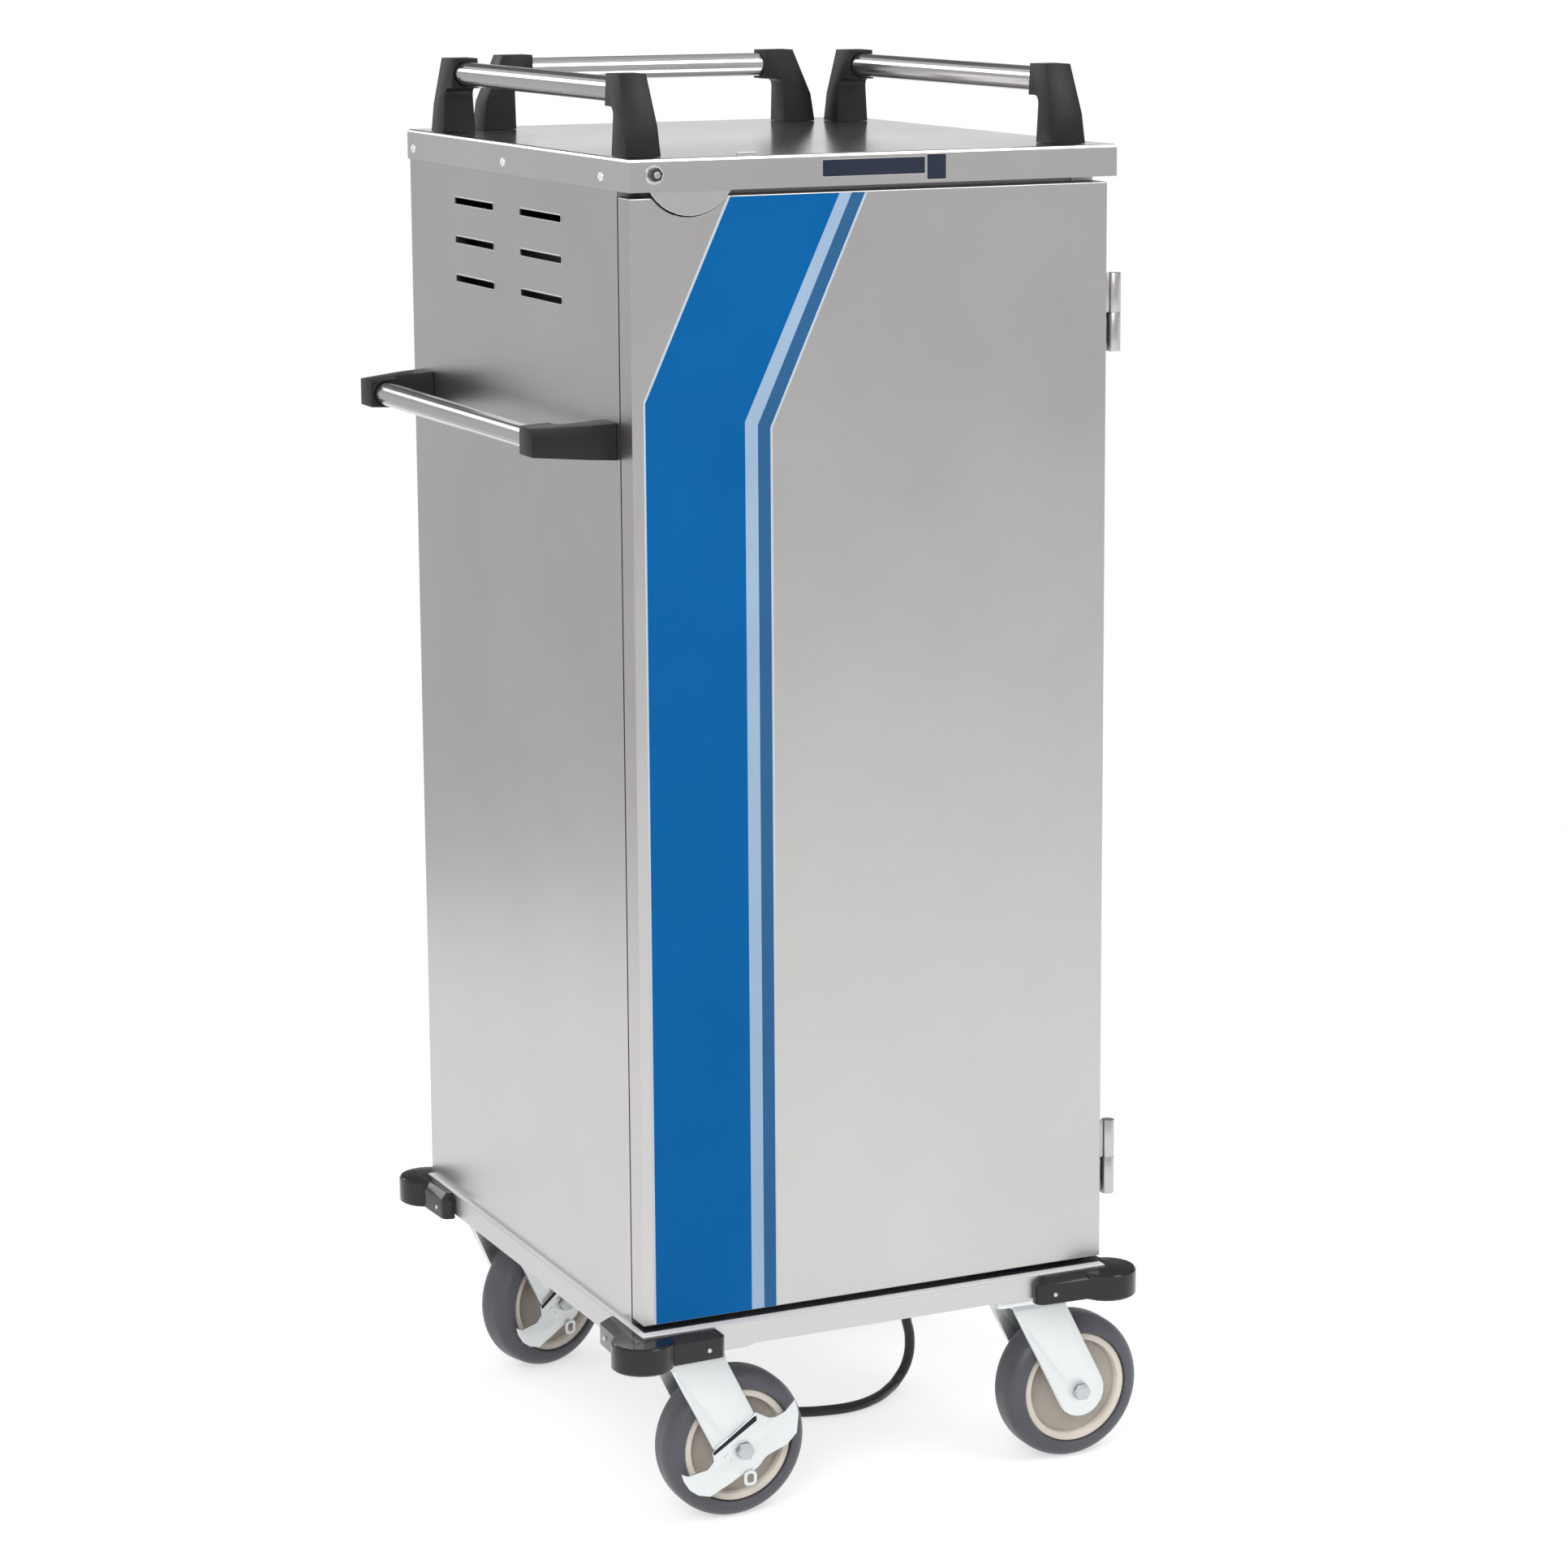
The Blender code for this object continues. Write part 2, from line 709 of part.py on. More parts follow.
def build_heater_box(cart):
    """Shallow box under the floor that holds the heater, with the cord's hole."""
    outline = rounded_rectangle(
        HEATER_LEFT,
        HEATER_FRONT,
        HEATER_LEFT + HEATER_WIDTH,
        HEATER_FRONT + HEATER_LENGTH,
        CAP_FOLD,
        2,
    )
    shape = pan(outline, HEATER_HEIGHT, SHEET)
    shape.transform(Matrix.Translation((0, 0, heater_bottom())))
    hole = bore_cutter(GLAND_NECK_RADIUS, heater_bottom() - SHEET, heater_bottom() + 2 * SHEET)
    hole.transform(Matrix.Translation((*GLAND_PLACE, 0)))
    mesh = cut(finish_mesh("heater_box", shape), [finish_mesh("hole", hole)])
    add_object("heater_box", mesh, satin_steel("heater_steel"), parent=cart)


def heater_bottom():
    return FLOOR_PAN_Z - SEAT_GAP - HEATER_HEIGHT


def rack_section():
    """Section of the left rack in x and z: a wall with folded ends and ledges."""
    wall = (BODY_WIDTH - RACK_INNER_WIDTH) / 2
    low = FLOOR_PAN_Z + RACK_BOTTOM_GAP
    foot = SHEET + SEAT_GAP
    section = [(foot, low), (wall, low)]
    for ledge in range(RACK_LEDGES):
        z = low + RACK_FIRST_LEDGE + ledge * RACK_LEDGE_STEP
        section += [
            (wall, z),
            (wall + RACK_LEDGE_REACH, z),
            (wall + RACK_LEDGE_REACH, z + RACK_SHEET),
            (wall, z + RACK_SHEET),
        ]
    section += [
        (wall, RACK_TOP),
        (foot, RACK_TOP),
        (foot, RACK_TOP - RACK_SHEET),
        (wall - RACK_SHEET, RACK_TOP - RACK_SHEET),
        (wall - RACK_SHEET, low + RACK_SHEET),
        (foot, low + RACK_SHEET),
    ]
    return section


def build_racks(cart):
    """Tray slides, one stack on each side."""
    front = PANEL_FRONT + SHEET + HEADER_DEPTH + RACK_FRONT_GAP
    back = PANEL_BACK - SHEET - BACK_FLANGE - RACK_BACK_GAP
    look = satin_steel("rack_steel")
    section = rack_section()
    left = prism(section, -back, -front)
    left.transform(frame_of((1, 0, 0), (0, 0, 1), (0, -1, 0), (0, 0, 0)))
    right = prism(section, -back, -front)
    right.transform(frame_of((-1, 0, 0), (0, 0, 1), (0, -1, 0), (BODY_WIDTH, 0, 0)))
    add_object("left_tray_rack", finish_mesh("left_tray_rack", left), look, parent=cart)
    add_object("right_tray_rack", finish_mesh("right_tray_rack", right), look, parent=cart)


def bracket_outline():
    """Side view of a bracket: along the bar from its outer side, and up from its foot."""
    head_low = BRACKET_HEIGHT - BRACKET_HEAD_HEIGHT
    throat_centre = (BRACKET_FOOT_LENGTH + BRACKET_THROAT, head_low - BRACKET_THROAT)
    outline = [(0.0, 0.0), (BRACKET_FOOT_LENGTH, 0.0), (BRACKET_FOOT_LENGTH, BRACKET_KINK_HEIGHT)]
    outline += arc(throat_centre, BRACKET_THROAT, 180, 90, 3)
    outline += [
        (BRACKET_HEAD_REACH, head_low),
        (BRACKET_HEAD_REACH, BRACKET_HEIGHT),
        (BRACKET_TOP_INSET, BRACKET_HEIGHT),
        (BRACKET_KINK_INSET, BRACKET_KINK_HEIGHT),
    ]
    return outline


def bracket_width(height):
    """Bracket width across the bar at a height above its foot."""
    if height <= BRACKET_KINK_HEIGHT:
        share = height / BRACKET_KINK_HEIGHT
        return BRACKET_FOOT_WIDTH + (BRACKET_KINK_WIDTH - BRACKET_FOOT_WIDTH) * share
    share = (height - BRACKET_KINK_HEIGHT) / (BRACKET_HEIGHT - BRACKET_KINK_HEIGHT)
    return BRACKET_KINK_WIDTH + (BRACKET_TOP_WIDTH - BRACKET_KINK_WIDTH) * share


def bracket_mesh():
    """Moulded bracket with tapering sides, an offset head and a blind socket for the bar.

    Local x runs along the bar from the outer side, y across it, z up from the foot.
    """
    shape = prism(bracket_outline(), -0.5, 0.5)
    shape.transform(frame_of((1, 0, 0), (0, 0, 1), (0, -1, 0), (0, 0, 0)))
    everything = shape.verts[:] + shape.edges[:] + shape.faces[:]
    kink_plane = (0, 0, BRACKET_KINK_HEIGHT)
    bmesh.ops.bisect_plane(shape, geom=everything, plane_co=kink_plane, plane_no=(0, 0, 1))
    for vertex in shape.verts:
        vertex.co.y *= bracket_width(vertex.co.z)
    sharp = []
    for edge in shape.edges:
        in_foot = all(vertex.co.z < BRACKET_EDGE for vertex in edge.verts)
        if not in_foot and edge.calc_face_angle(0.0) > math.radians(30):
            sharp.append(edge)
    bevel_edges(shape, sharp, BRACKET_EDGE, 1)
    body = finish_mesh("bracket", shape)
    socket = bore_cutter(
        BAR_RADIUS,
        BRACKET_HEAD_REACH - BAR_SOCKET_DEPTH,
        BRACKET_HEAD_REACH + BAR_SOCKET_DEPTH,
        BAR_SIDES,
    )
    socket.transform(frame_of((0, 1, 0), (0, 0, 1), (1, 0, 0), (0, 0, BAR_HEIGHT)))
    mesh = cut(body, [finish_mesh("socket", socket)])
    mesh.shade_smooth()
    mesh.set_sharp_from_angle(angle=math.radians(30))
    return mesh


def bar_mesh(name, length):
    """A polished tube lying along z."""
    inner = BAR_RADIUS - BAR_WALL
    profile = [(inner, 0.0), (BAR_RADIUS, 0.0), (BAR_RADIUS, length), (inner, length)]
    return finish_mesh(name, turned_ring(profile, BAR_SIDES), 40)


def add_rail(name, parent, bracket, looks, start, end, up):
    """Two brackets whose outer feet are at start and end, with a tube between them."""
    start = Vector(start)
    end = Vector(end)
    up = Vector(up)
    along = (end - start).normalized()
    black, bright = looks
    suffixes = ("a", "b")
    for suffix, foot, inward in zip(suffixes, (start, end), (along, -along)):
        piece = add_object(f"{name}_bracket_{suffix}", bracket, black, parent=parent)
        across = up.cross(inward)
        piece.matrix_local = frame_of(inward, across, up, foot)
    socket_bottom = BRACKET_HEAD_REACH - BAR_SOCKET_DEPTH + SEAT_GAP
    length = (end - start).length - 2 * socket_bottom
    bar = add_object(f"{name}_bar", bar_mesh(f"{name}_bar", length), bright, parent=parent)
    across = up.cross(along)
    bar_start = start + along * socket_bottom + up * BAR_HEIGHT
    bar.matrix_local = frame_of(across, up, across.cross(up), bar_start)


def build_rails(cart):
    """Three rails on the top cover and the push handle on the left side."""
    bracket = bracket_mesh()
    looks = (black_plastic("bracket_plastic"), bright_steel("bar_steel"))
    up = (0, 0, 1)
    foot_z = CAP_TOP + SEAT_GAP
    half = BRACKET_FOOT_WIDTH / 2
    left_x = LEFT_RAIL_INSET + half
    right_x = BODY_WIDTH - RIGHT_RAIL_INSET - half
    back_y = BODY_DEPTH - BACK_RAIL_INSET - half
    side_back = BODY_DEPTH - SIDE_RAIL_BACK
    rails = {
        "left_rail": ((left_x, SIDE_RAIL_FRONT, foot_z), (left_x, side_back, foot_z)),
        "right_rail": ((right_x, SIDE_RAIL_FRONT, foot_z), (right_x, side_back, foot_z)),
        "back_rail": (
            (BACK_RAIL_LEFT_END, back_y, foot_z),
            (BODY_WIDTH - BACK_RAIL_RIGHT_END, back_y, foot_z),
        ),
    }
    for name, (start, end) in rails.items():
        add_rail(name, cart, bracket, looks, start, end, up)
    start = (-SEAT_GAP, HANDLE_FRONT, HANDLE_HEIGHT)
    end = (-SEAT_GAP, BODY_DEPTH - HANDLE_BACK, HANDLE_HEIGHT)
    add_rail("push_handle", cart, bracket, looks, start, end, (-1, 0, 0))


def bumper_arms(inset):
    """Plan of the two arms, drawn in by one distance from their outer faces and ends."""
    gap = SEAT_GAP
    end = BUMPER_ARM - inset
    tip = BUMPER_TIP_THICKNESS - inset
    root = BUMPER_ROOT_THICKNESS - inset
    turn = min(BUMPER_END_ROUND, tip - gap)
    outline = [(-gap, -gap), (-gap, end)]
    outline += arc((-tip + turn, end - turn), turn, 90, 180, 3)
    outline += [(-root, -root)]
    outline += arc((end - turn, -tip + turn), turn, 270, 360, 3)
    outline += [(end, -gap)]
    return outline


def bumper_mesh():
    """Corner bumper: two arms along the frame, sloped on top, and a round puck at the corner.

    Local x and y run back along the two sides from the frame's corner.
    """
    gap = SEAT_GAP
    low = FRAME_BOTTOM - BUMPER_UNDERHANG
    high = FRAME_TOP - BUMPER_DROP
    shape = bmesh.new()
    loops = [
        loop_at(shape, bumper_arms(0.0), low),
        loop_at(shape, bumper_arms(0.0), high - BUMPER_SLOPE_DROP),
        loop_at(shape, bumper_arms(BUMPER_SLOPE_INSET), high),
    ]
    shape.faces.new(loops[0])
    shape.faces.new(loops[-1])
    for lower, upper in zip(loops, loops[1:]):
        bridge_loops(shape, lower, upper)
    arms_mesh = finish_mesh("bumper_arms", shape)
    sector = [(-gap, -gap)] + arc((-gap, -gap), PUCK_RADIUS - gap, 90, 360, 18)
    puck = prism(sector, FRAME_BOTTOM - PUCK_DROP, high - gap)
    rims = []
    for edge in puck.edges:
        level = edge.verts[0].co.z == edge.verts[1].co.z
        on_arc = all(vertex.co.to_2d().length > PUCK_RADIUS / 2 for vertex in edge.verts)
        if level and on_arc:
            rims.append(edge)
    bevel_edges(puck, rims, PUCK_EDGE, 1)
    mesh = joined(finish_mesh("bumper_puck", puck), [arms_mesh])
    mesh.name = "corner_bumper"
    mesh.shade_smooth()
    mesh.set_sharp_from_angle(angle=math.radians(35))
    return mesh


def build_bumpers(cart):
    mesh = bumper_mesh()
    look = black_rubber("bumper_black")
    near = -FRAME_PROUD
    corners = {
        "front_left": (near, near, 0),
        "front_right": (FRAME_RIGHT, near, 90),
        "rear_right": (FRAME_RIGHT, FRAME_BACK, 180),
        "rear_left": (near, FRAME_BACK, 270),
    }
    for name, (x, y, turn) in corners.items():
        bumper = add_object(f"bumper_{name}", mesh, look, (x, y, 0), cart)
        bumper.rotation_euler = (0, 0, math.radians(turn))


def caster_plate_mesh():
    """Top plate, ball race and kingpin. Local origin is on the floor under the kingpin."""
    plate_low = CASTER_HEIGHT - TOP_PLATE_THICKNESS
    race_low = plate_low - RACE_HEIGHT
    head_high = CROWN_BOTTOM - SEAT_GAP
    plate = prism(
        rounded_rectangle(
            -TOP_PLATE_WIDTH / 2,
            -TOP_PLATE_LENGTH / 2,
            TOP_PLATE_WIDTH / 2,
            TOP_PLATE_LENGTH / 2,
            TOP_PLATE_CORNER,
            2,
        ),
        plate_low,
        CASTER_HEIGHT,
    )
    race = ring_stack(
        [
            (head_high - KINGPIN_HEAD_HEIGHT, KINGPIN_HEAD_RADIUS - SEAT_GAP, False),
            (head_high, KINGPIN_HEAD_RADIUS, False),
            (head_high, KINGPIN_RADIUS, False),
            (race_low, KINGPIN_RADIUS, False),
            (race_low, RACE_RADIUS - RACE_HEIGHT / 2, False),
            (race_low + RACE_HEIGHT / 2, RACE_RADIUS, False),
            (plate_low + TOP_PLATE_THICKNESS / 2, RACE_RADIUS, False),
        ],
        HINGE_SIDES,
    )
    return joined(finish_mesh("caster_plate", plate), [finish_mesh("race", race)])


def fork_outline():
    """Side view of the fork: a crown at the top that tapers to a round end at the axle."""
    axle = (CASTER_TRAIL, WHEEL_RADIUS)
    outline = [(FORK_CROWN_FRONT, CROWN_TOP), (-FORK_CROWN_BACK, CROWN_TOP)]
    outline.append((-FORK_CROWN_BACK, CROWN_TOP - FORK_FOLD))
    left_deg = tangent_angle(outline[-1], axle, FORK_END_RADIUS, 1)
    right_deg = tangent_angle((FORK_CROWN_FRONT, CROWN_TOP - FORK_FOLD), axle, FORK_END_RADIUS, -1)
    outline += arc(axle, FORK_END_RADIUS, left_deg, right_deg + 360.0, 10)
    outline.append((FORK_CROWN_FRONT, CROWN_TOP - FORK_FOLD))
    return outline


def tangent_angle(point, centre, radius, side):
    """Angle at which the line from a point touches a circle, in degrees."""
    dx = point[0] - centre[0]
    dy = point[1] - centre[1]
    lean = math.acos(radius / math.hypot(dx, dy))
    return math.degrees(math.atan2(dy, dx) + side * lean)


def fork_mesh():
    """Folded fork: crown plate and two legs, bored for the kingpin and the axle."""
    shape = prism(fork_outline(), -FORK_HALF, FORK_HALF)
    shape.transform(frame_of((1, 0, 0), (0, 0, 1), (0, -1, 0), (0, 0, 0)))
    folds = []
    for edge in shape.edges:
        if all(vertex.co.z > CROWN_TOP - SEAT_GAP for vertex in edge.verts):
            if abs(edge.verts[0].co.x - edge.verts[1].co.x) > FORK_FOLD:
                folds.append(edge)
    bevel_edges(shape, folds, FORK_FOLD, 2)
    far = FORK_CROWN_BACK + CASTER_TRAIL + WHEEL_RADIUS
    between = prism(
        rectangle(-FORK_INNER_WIDTH / 2, -far, FORK_INNER_WIDTH / 2, CROWN_BOTTOM + SEAT_GAP),
        -far,
        far,
    )
    between.transform(frame_of((0, 1, 0), (0, 0, 1), (1, 0, 0), (0, 0, 0)))
    kingpin = bore_cutter(KINGPIN_RADIUS, CROWN_BOTTOM - SHEET, CROWN_TOP + SHEET)
    axle = bore_cutter(AXLE_RADIUS, -far, far)
    axle.transform(frame_of((1, 0, 0), (0, 0, 1), (0, -1, 0), (CASTER_TRAIL, 0, WHEEL_RADIUS)))
    tools = [
        finish_mesh("between", between),
        finish_mesh("kingpin_hole", kingpin),
        finish_mesh("axle_hole", axle),
    ]
    return cut(finish_mesh("caster_fork", shape), tools)


def hub_mesh():
    """Wheel hub: rim, dished web and a boss bored for the axle, spun about local z."""
    rim = WHEEL_RADIUS - TYRE_THICKNESS - SEAT_GAP
    rim_inner = rim - HUB_RIM_THICKNESS
    half_rim = HUB_RIM_WIDTH / 2
    half_boss = FORK_INNER_WIDTH / 2 - RUNNING_GAP
    web = HUB_WEB_THICKNESS / 2
    dish = half_rim - HUB_WEB_RECESS
    bore = AXLE_RADIUS + RUNNING_GAP
    profile = [
        (bore, -half_boss),
        (HUB_BOSS_RADIUS, -half_boss),
        (HUB_BOSS_RADIUS + RUNNING_GAP, -web - dish / 2),
        (rim_inner - RUNNING_GAP, -dish),
        (rim_inner, -half_rim),
        (rim, -half_rim),
        (rim, half_rim),
        (rim_inner, half_rim),
        (rim_inner - RUNNING_GAP, dish),
        (HUB_BOSS_RADIUS + RUNNING_GAP, web + dish / 2),
        (HUB_BOSS_RADIUS, half_boss),
        (bore, half_boss),
    ]
    return finish_mesh("wheel_hub", turned_ring(profile, WHEEL_SIDES), 35)


def tyre_mesh():
    """Grey tread ring with rounded shoulders, spun about local z."""
    inner = WHEEL_RADIUS - TYRE_THICKNESS
    half = TYRE_WIDTH / 2
    seat = HUB_RIM_WIDTH / 2
    outer = WHEEL_RADIUS
    soft = TYRE_SHOULDER
    steps = TYRE_SHOULDER_STEPS
    profile = [(inner, -seat)]
    profile += arc((outer - soft, -half + soft), soft, -90, 0, steps)
    profile += arc((outer - soft, half - soft), soft, 0, 90, steps)
    profile += [(inner, seat)]
    return finish_mesh("wheel_tyre", turned_ring(profile, WHEEL_SIDES), 50)


def axle_mesh(near_grip):
    """Axle bolt along local z with a hexagon at each end; near_grip is what its near end holds."""
    near = -FORK_HALF - near_grip - SEAT_GAP
    far = FORK_HALF + SEAT_GAP
    rings = [
        (near - AXLE_HEAD_HEIGHT, AXLE_HEAD_RADIUS, True),
        (near, AXLE_HEAD_RADIUS, True),
        (near, AXLE_RADIUS, False),
        (far, AXLE_RADIUS, False),
        (far, AXLE_HEAD_RADIUS, True),
        (far + AXLE_HEAD_HEIGHT, AXLE_HEAD_RADIUS, True),
    ]
    return finish_mesh("axle", ring_stack(rings, BOLT_SIDES))


def brake_outline():
    """Outline of the rocking brake pedal about the axle: a bow-shaped plate with two toes."""
    shares = [
        (0.169, 0.539),
        (0.199, 0.591),
        (0.289, 0.548),
        (0.427, 0.467),
        (0.526, 0.459),
        (0.707, 0.525),
        (0.874, 0.695),
        (0.919, 0.552),
        (0.937, 0.447),
        (0.905, 0.145),
        (0.743, -0.019),
        (0.423, -0.136),
        (0.208, -0.272),
        (-0.036, -0.394),
        (-0.237, -0.502),
        (-0.595, -0.669),
        (-0.792, -0.615),
        (-0.929, -0.514),
        (-1.025, -0.364),
        (-1.066, -0.231),
        (-0.965, -0.278),
        (-0.630, -0.222),
        (-0.520, -0.108),
        (-0.549, 0.050),
    ]
    return [(BRAKE_HALF_LENGTH * x, BRAKE_HALF_LENGTH * z) for x, z in shares]


def brake_mesh():
    """Brake pedal plate, bored for the axle. Local z points outwards from the fork."""
    plate = finish_mesh("brake_pedal", prism(brake_outline(), 0.0, BRAKE_SHEET))
    hole = bore_cutter(AXLE_RADIUS, -BRAKE_SHEET, 2 * BRAKE_SHEET)
    return cut(plate, [finish_mesh("hole", hole)])


def build_casters(cart):
    """Four swivel casters that trail to the right, the rear left one turned a little back.

    The two left ones have brakes.
    """
    plate = caster_plate_mesh()
    fork = fork_mesh()
    hub = hub_mesh()
    tyre = tyre_mesh()
    braked_axle = axle_mesh(BRAKE_SHEET + SEAT_GAP)
    plain_axle = axle_mesh(0.0)
    brake = brake_mesh()
    zinc = zinc_plate("caster_zinc")
    grey = tyre_grey("tyre_grey")
    cream = hub_cream("hub_cream")
    lie_down = (math.radians(90), 0, 0)
    for name, (x, y) in caster_places().items():
        add_object(f"caster_plate_{name}", plate, zinc, (x, y, 0), cart)
        swivel = empty(f"swivel_{name}", (x, y, 0), cart)
        swivel.rotation_euler = (0, 0, math.radians(rest_swivel(name)))
        add_object(f"caster_fork_{name}", fork, zinc, parent=swivel)
        wheel = empty(f"wheel_{name}", (CASTER_TRAIL, 0, WHEEL_RADIUS), swivel)
        add_object(f"hub_{name}", hub, cream, parent=wheel).rotation_euler = lie_down
        add_object(f"tyre_{name}", tyre, grey, parent=wheel).rotation_euler = lie_down
        has_brake = name.endswith("left")
        axle = add_object(
            f"axle_{name}",
            braked_axle if has_brake else plain_axle,
            zinc,
            (CASTER_TRAIL, 0, WHEEL_RADIUS),
            swivel,
        )
        axle.rotation_euler = (math.radians(-90), 0, 0)
        if has_brake:
            place = (CASTER_TRAIL, -FORK_HALF - SEAT_GAP, WHEEL_RADIUS)
            pedal = add_object(f"brake_pedal_{name}", brake, zinc, place, swivel)
            pedal.rotation_euler = lie_down


def hinge_body_mesh():
    """Lower hinge half: barrel with a standing pin, and a leaf for the side panel.

    Local origin is on the pin's axis at the joint between the halves.
    """
    barrel = ring_stack(
        [
            (-HINGE_HALF, HINGE_RADIUS, False),
            (-HINGE_JOINT_GAP, HINGE_RADIUS, False),
            (-HINGE_JOINT_GAP, HINGE_PIN_RADIUS, False),
            (HINGE_PIN_REACH, HINGE_PIN_RADIUS, False),
        ],
        HINGE_SIDES,
    )
    leaf_out = -HINGE_OUT + SEAT_GAP
    leaf_in = leaf_out + HINGE_LEAF
    tangent = HINGE_RADIUS - HINGE_LEAF
    leaf = [
        (0.0, HINGE_RADIUS),
        (leaf_in, HINGE_RADIUS),
        (leaf_in, HINGE_LEAF_REACH),
        (leaf_out, HINGE_LEAF_REACH),
        (leaf_out, tangent),
        (0.0, tangent),
    ]
    leaf_mesh = finish_mesh("leaf", prism(leaf, -HINGE_HALF, -HINGE_JOINT_GAP))
    return joined(finish_mesh("hinge_body", barrel), [leaf_mesh])


def hinge_door_mesh():
    """Upper hinge half: bored barrel with a leaf for the door's edge."""
    cap = HINGE_PIN_REACH + SEAT_GAP
    barrel = ring_stack([(0.0, HINGE_RADIUS, False), (HINGE_HALF, HINGE_RADIUS, False)], HINGE_SIDES)
    leaf_out = -HINGE_OUT + SEAT_GAP
    leaf_in = leaf_out + HINGE_LEAF
    half = HINGE_LEAF / 2
    leaf = [
        (0.0, half),
        (leaf_in, half),
        (leaf_in, HINGE_DOOR_LEAF_REACH),
        (leaf_out, HINGE_DOOR_LEAF_REACH),
        (leaf_out, -half),
        (0.0, -half),
    ]
    leaf_mesh = finish_mesh("leaf", prism(leaf, 0.0, HINGE_HALF))
    whole = joined(finish_mesh("hinge_door", barrel), [leaf_mesh])
    hole = bore_cutter(HINGE_PIN_RADIUS, -SHEET, cap)
    return cut(whole, [finish_mesh("bore", hole)])


def door_outline():
    """Door face in x and z, with the shallow arc that clears the latch plate."""
    centre = (LATCH_PIVOT_X + LATCH_BELLY_X, LATCH_PIVOT_Z + LATCH_BELLY_Z)
    radius = LATCH_BELLY_RADIUS + LATCH_NOTCH_GAP
    rise = centre[1] - DOOR_TOP
    half_deg = math.degrees(math.acos(rise / radius))
    outline = [(0.0, DOOR_BOTTOM), (BODY_WIDTH, DOOR_BOTTOM), (BODY_WIDTH, DOOR_TOP)]
    outline += arc(centre, radius, -90 + half_deg, -90 - half_deg, 10)
    outline += [(0.0, DOOR_TOP)]
    return outline


def build_door(cart):
    """Door of two nested pans, hung on two lift-off hinges."""
    hinge_axis = empty("door_axis", (HINGE_X, HINGE_Y, 0), cart)
    back = Vector((-HINGE_X, -HINGE_Y, 0))
    outline = door_outline()
    skin = pan(outline, DOOR_THICKNESS, DOOR_SHEET)
    skin.transform(
        frame_of((1, 0, 0), (0, 0, 1), (0, 1, 0), back + Vector((0, DOOR_FRONT, 0)))
    )
    inner = pan(inset_outline(outline, DOOR_SHEET + SEAT_GAP), DOOR_INNER_FLANGE, DOOR_SHEET)
    inner.transform(
        frame_of((1, 0, 0), (0, 0, 1), (0, -1, 0), back + Vector((0, DOOR_BACK, 0)))
    )
    add_object("door_skin", finish_mesh("door_skin", skin), satin_steel("door_steel"), parent=hinge_axis)
    add_object(
        "door_inner_pan", finish_mesh("door_inner_pan", inner), satin_steel("door_pan_steel"), parent=hinge_axis
    )
    body_half = hinge_body_mesh()
    door_half = hinge_door_mesh()
    look = satin_steel("hinge_steel")
    for name, z in zip(("upper", "lower"), HINGE_CENTRES):
        add_object(f"body_hinge_{name}", body_half, look, (HINGE_X, HINGE_Y, z), cart)
        add_object(f"door_hinge_{name}", door_half, look, (0, 0, z), hinge_axis)


def latch_outline():
    """Latch plate about its pivot: a round belly, an arm and a finger tab at its end."""
    lift = math.radians(LATCH_LIFT_DEG)
    ceiling = LATCH_PIVOT_DROP - SHEET - LATCH_ROOM
    centre = (LATCH_BELLY_X, LATCH_BELLY_Z)
    radius = LATCH_BELLY_RADIUS
    start_deg = 180 - math.degrees(math.asin((ceiling - centre[1]) / radius))
    end_deg = 360 - math.degrees(math.asin((centre[1] + LATCH_ARM_BOTTOM) / radius))
    tab_right = LATCH_TAB_LEFT + LATCH_TAB_WIDTH
    tab_top = LATCH_PIVOT_DROP + LATCH_TAB_PROUD
    shoulder_x = LATCH_TAB_LEFT - LATCH_SHOULDER

    def sloping_top(x):
        return (ceiling - x * math.sin(lift)) / math.cos(lift)

    level_to = ceiling * (1 - math.cos(lift)) / math.sin(lift)
    outline = arc(centre, radius, start_deg, end_deg, 16)
    outline += [
        (tab_right, -LATCH_ARM_BOTTOM),
        (tab_right, tab_top),
        (LATCH_TAB_LEFT, tab_top),
        (LATCH_TAB_LEFT, sloping_top(shoulder_x)),
        (shoulder_x, sloping_top(shoulder_x)),
        (level_to, ceiling),
    ]
    return outline


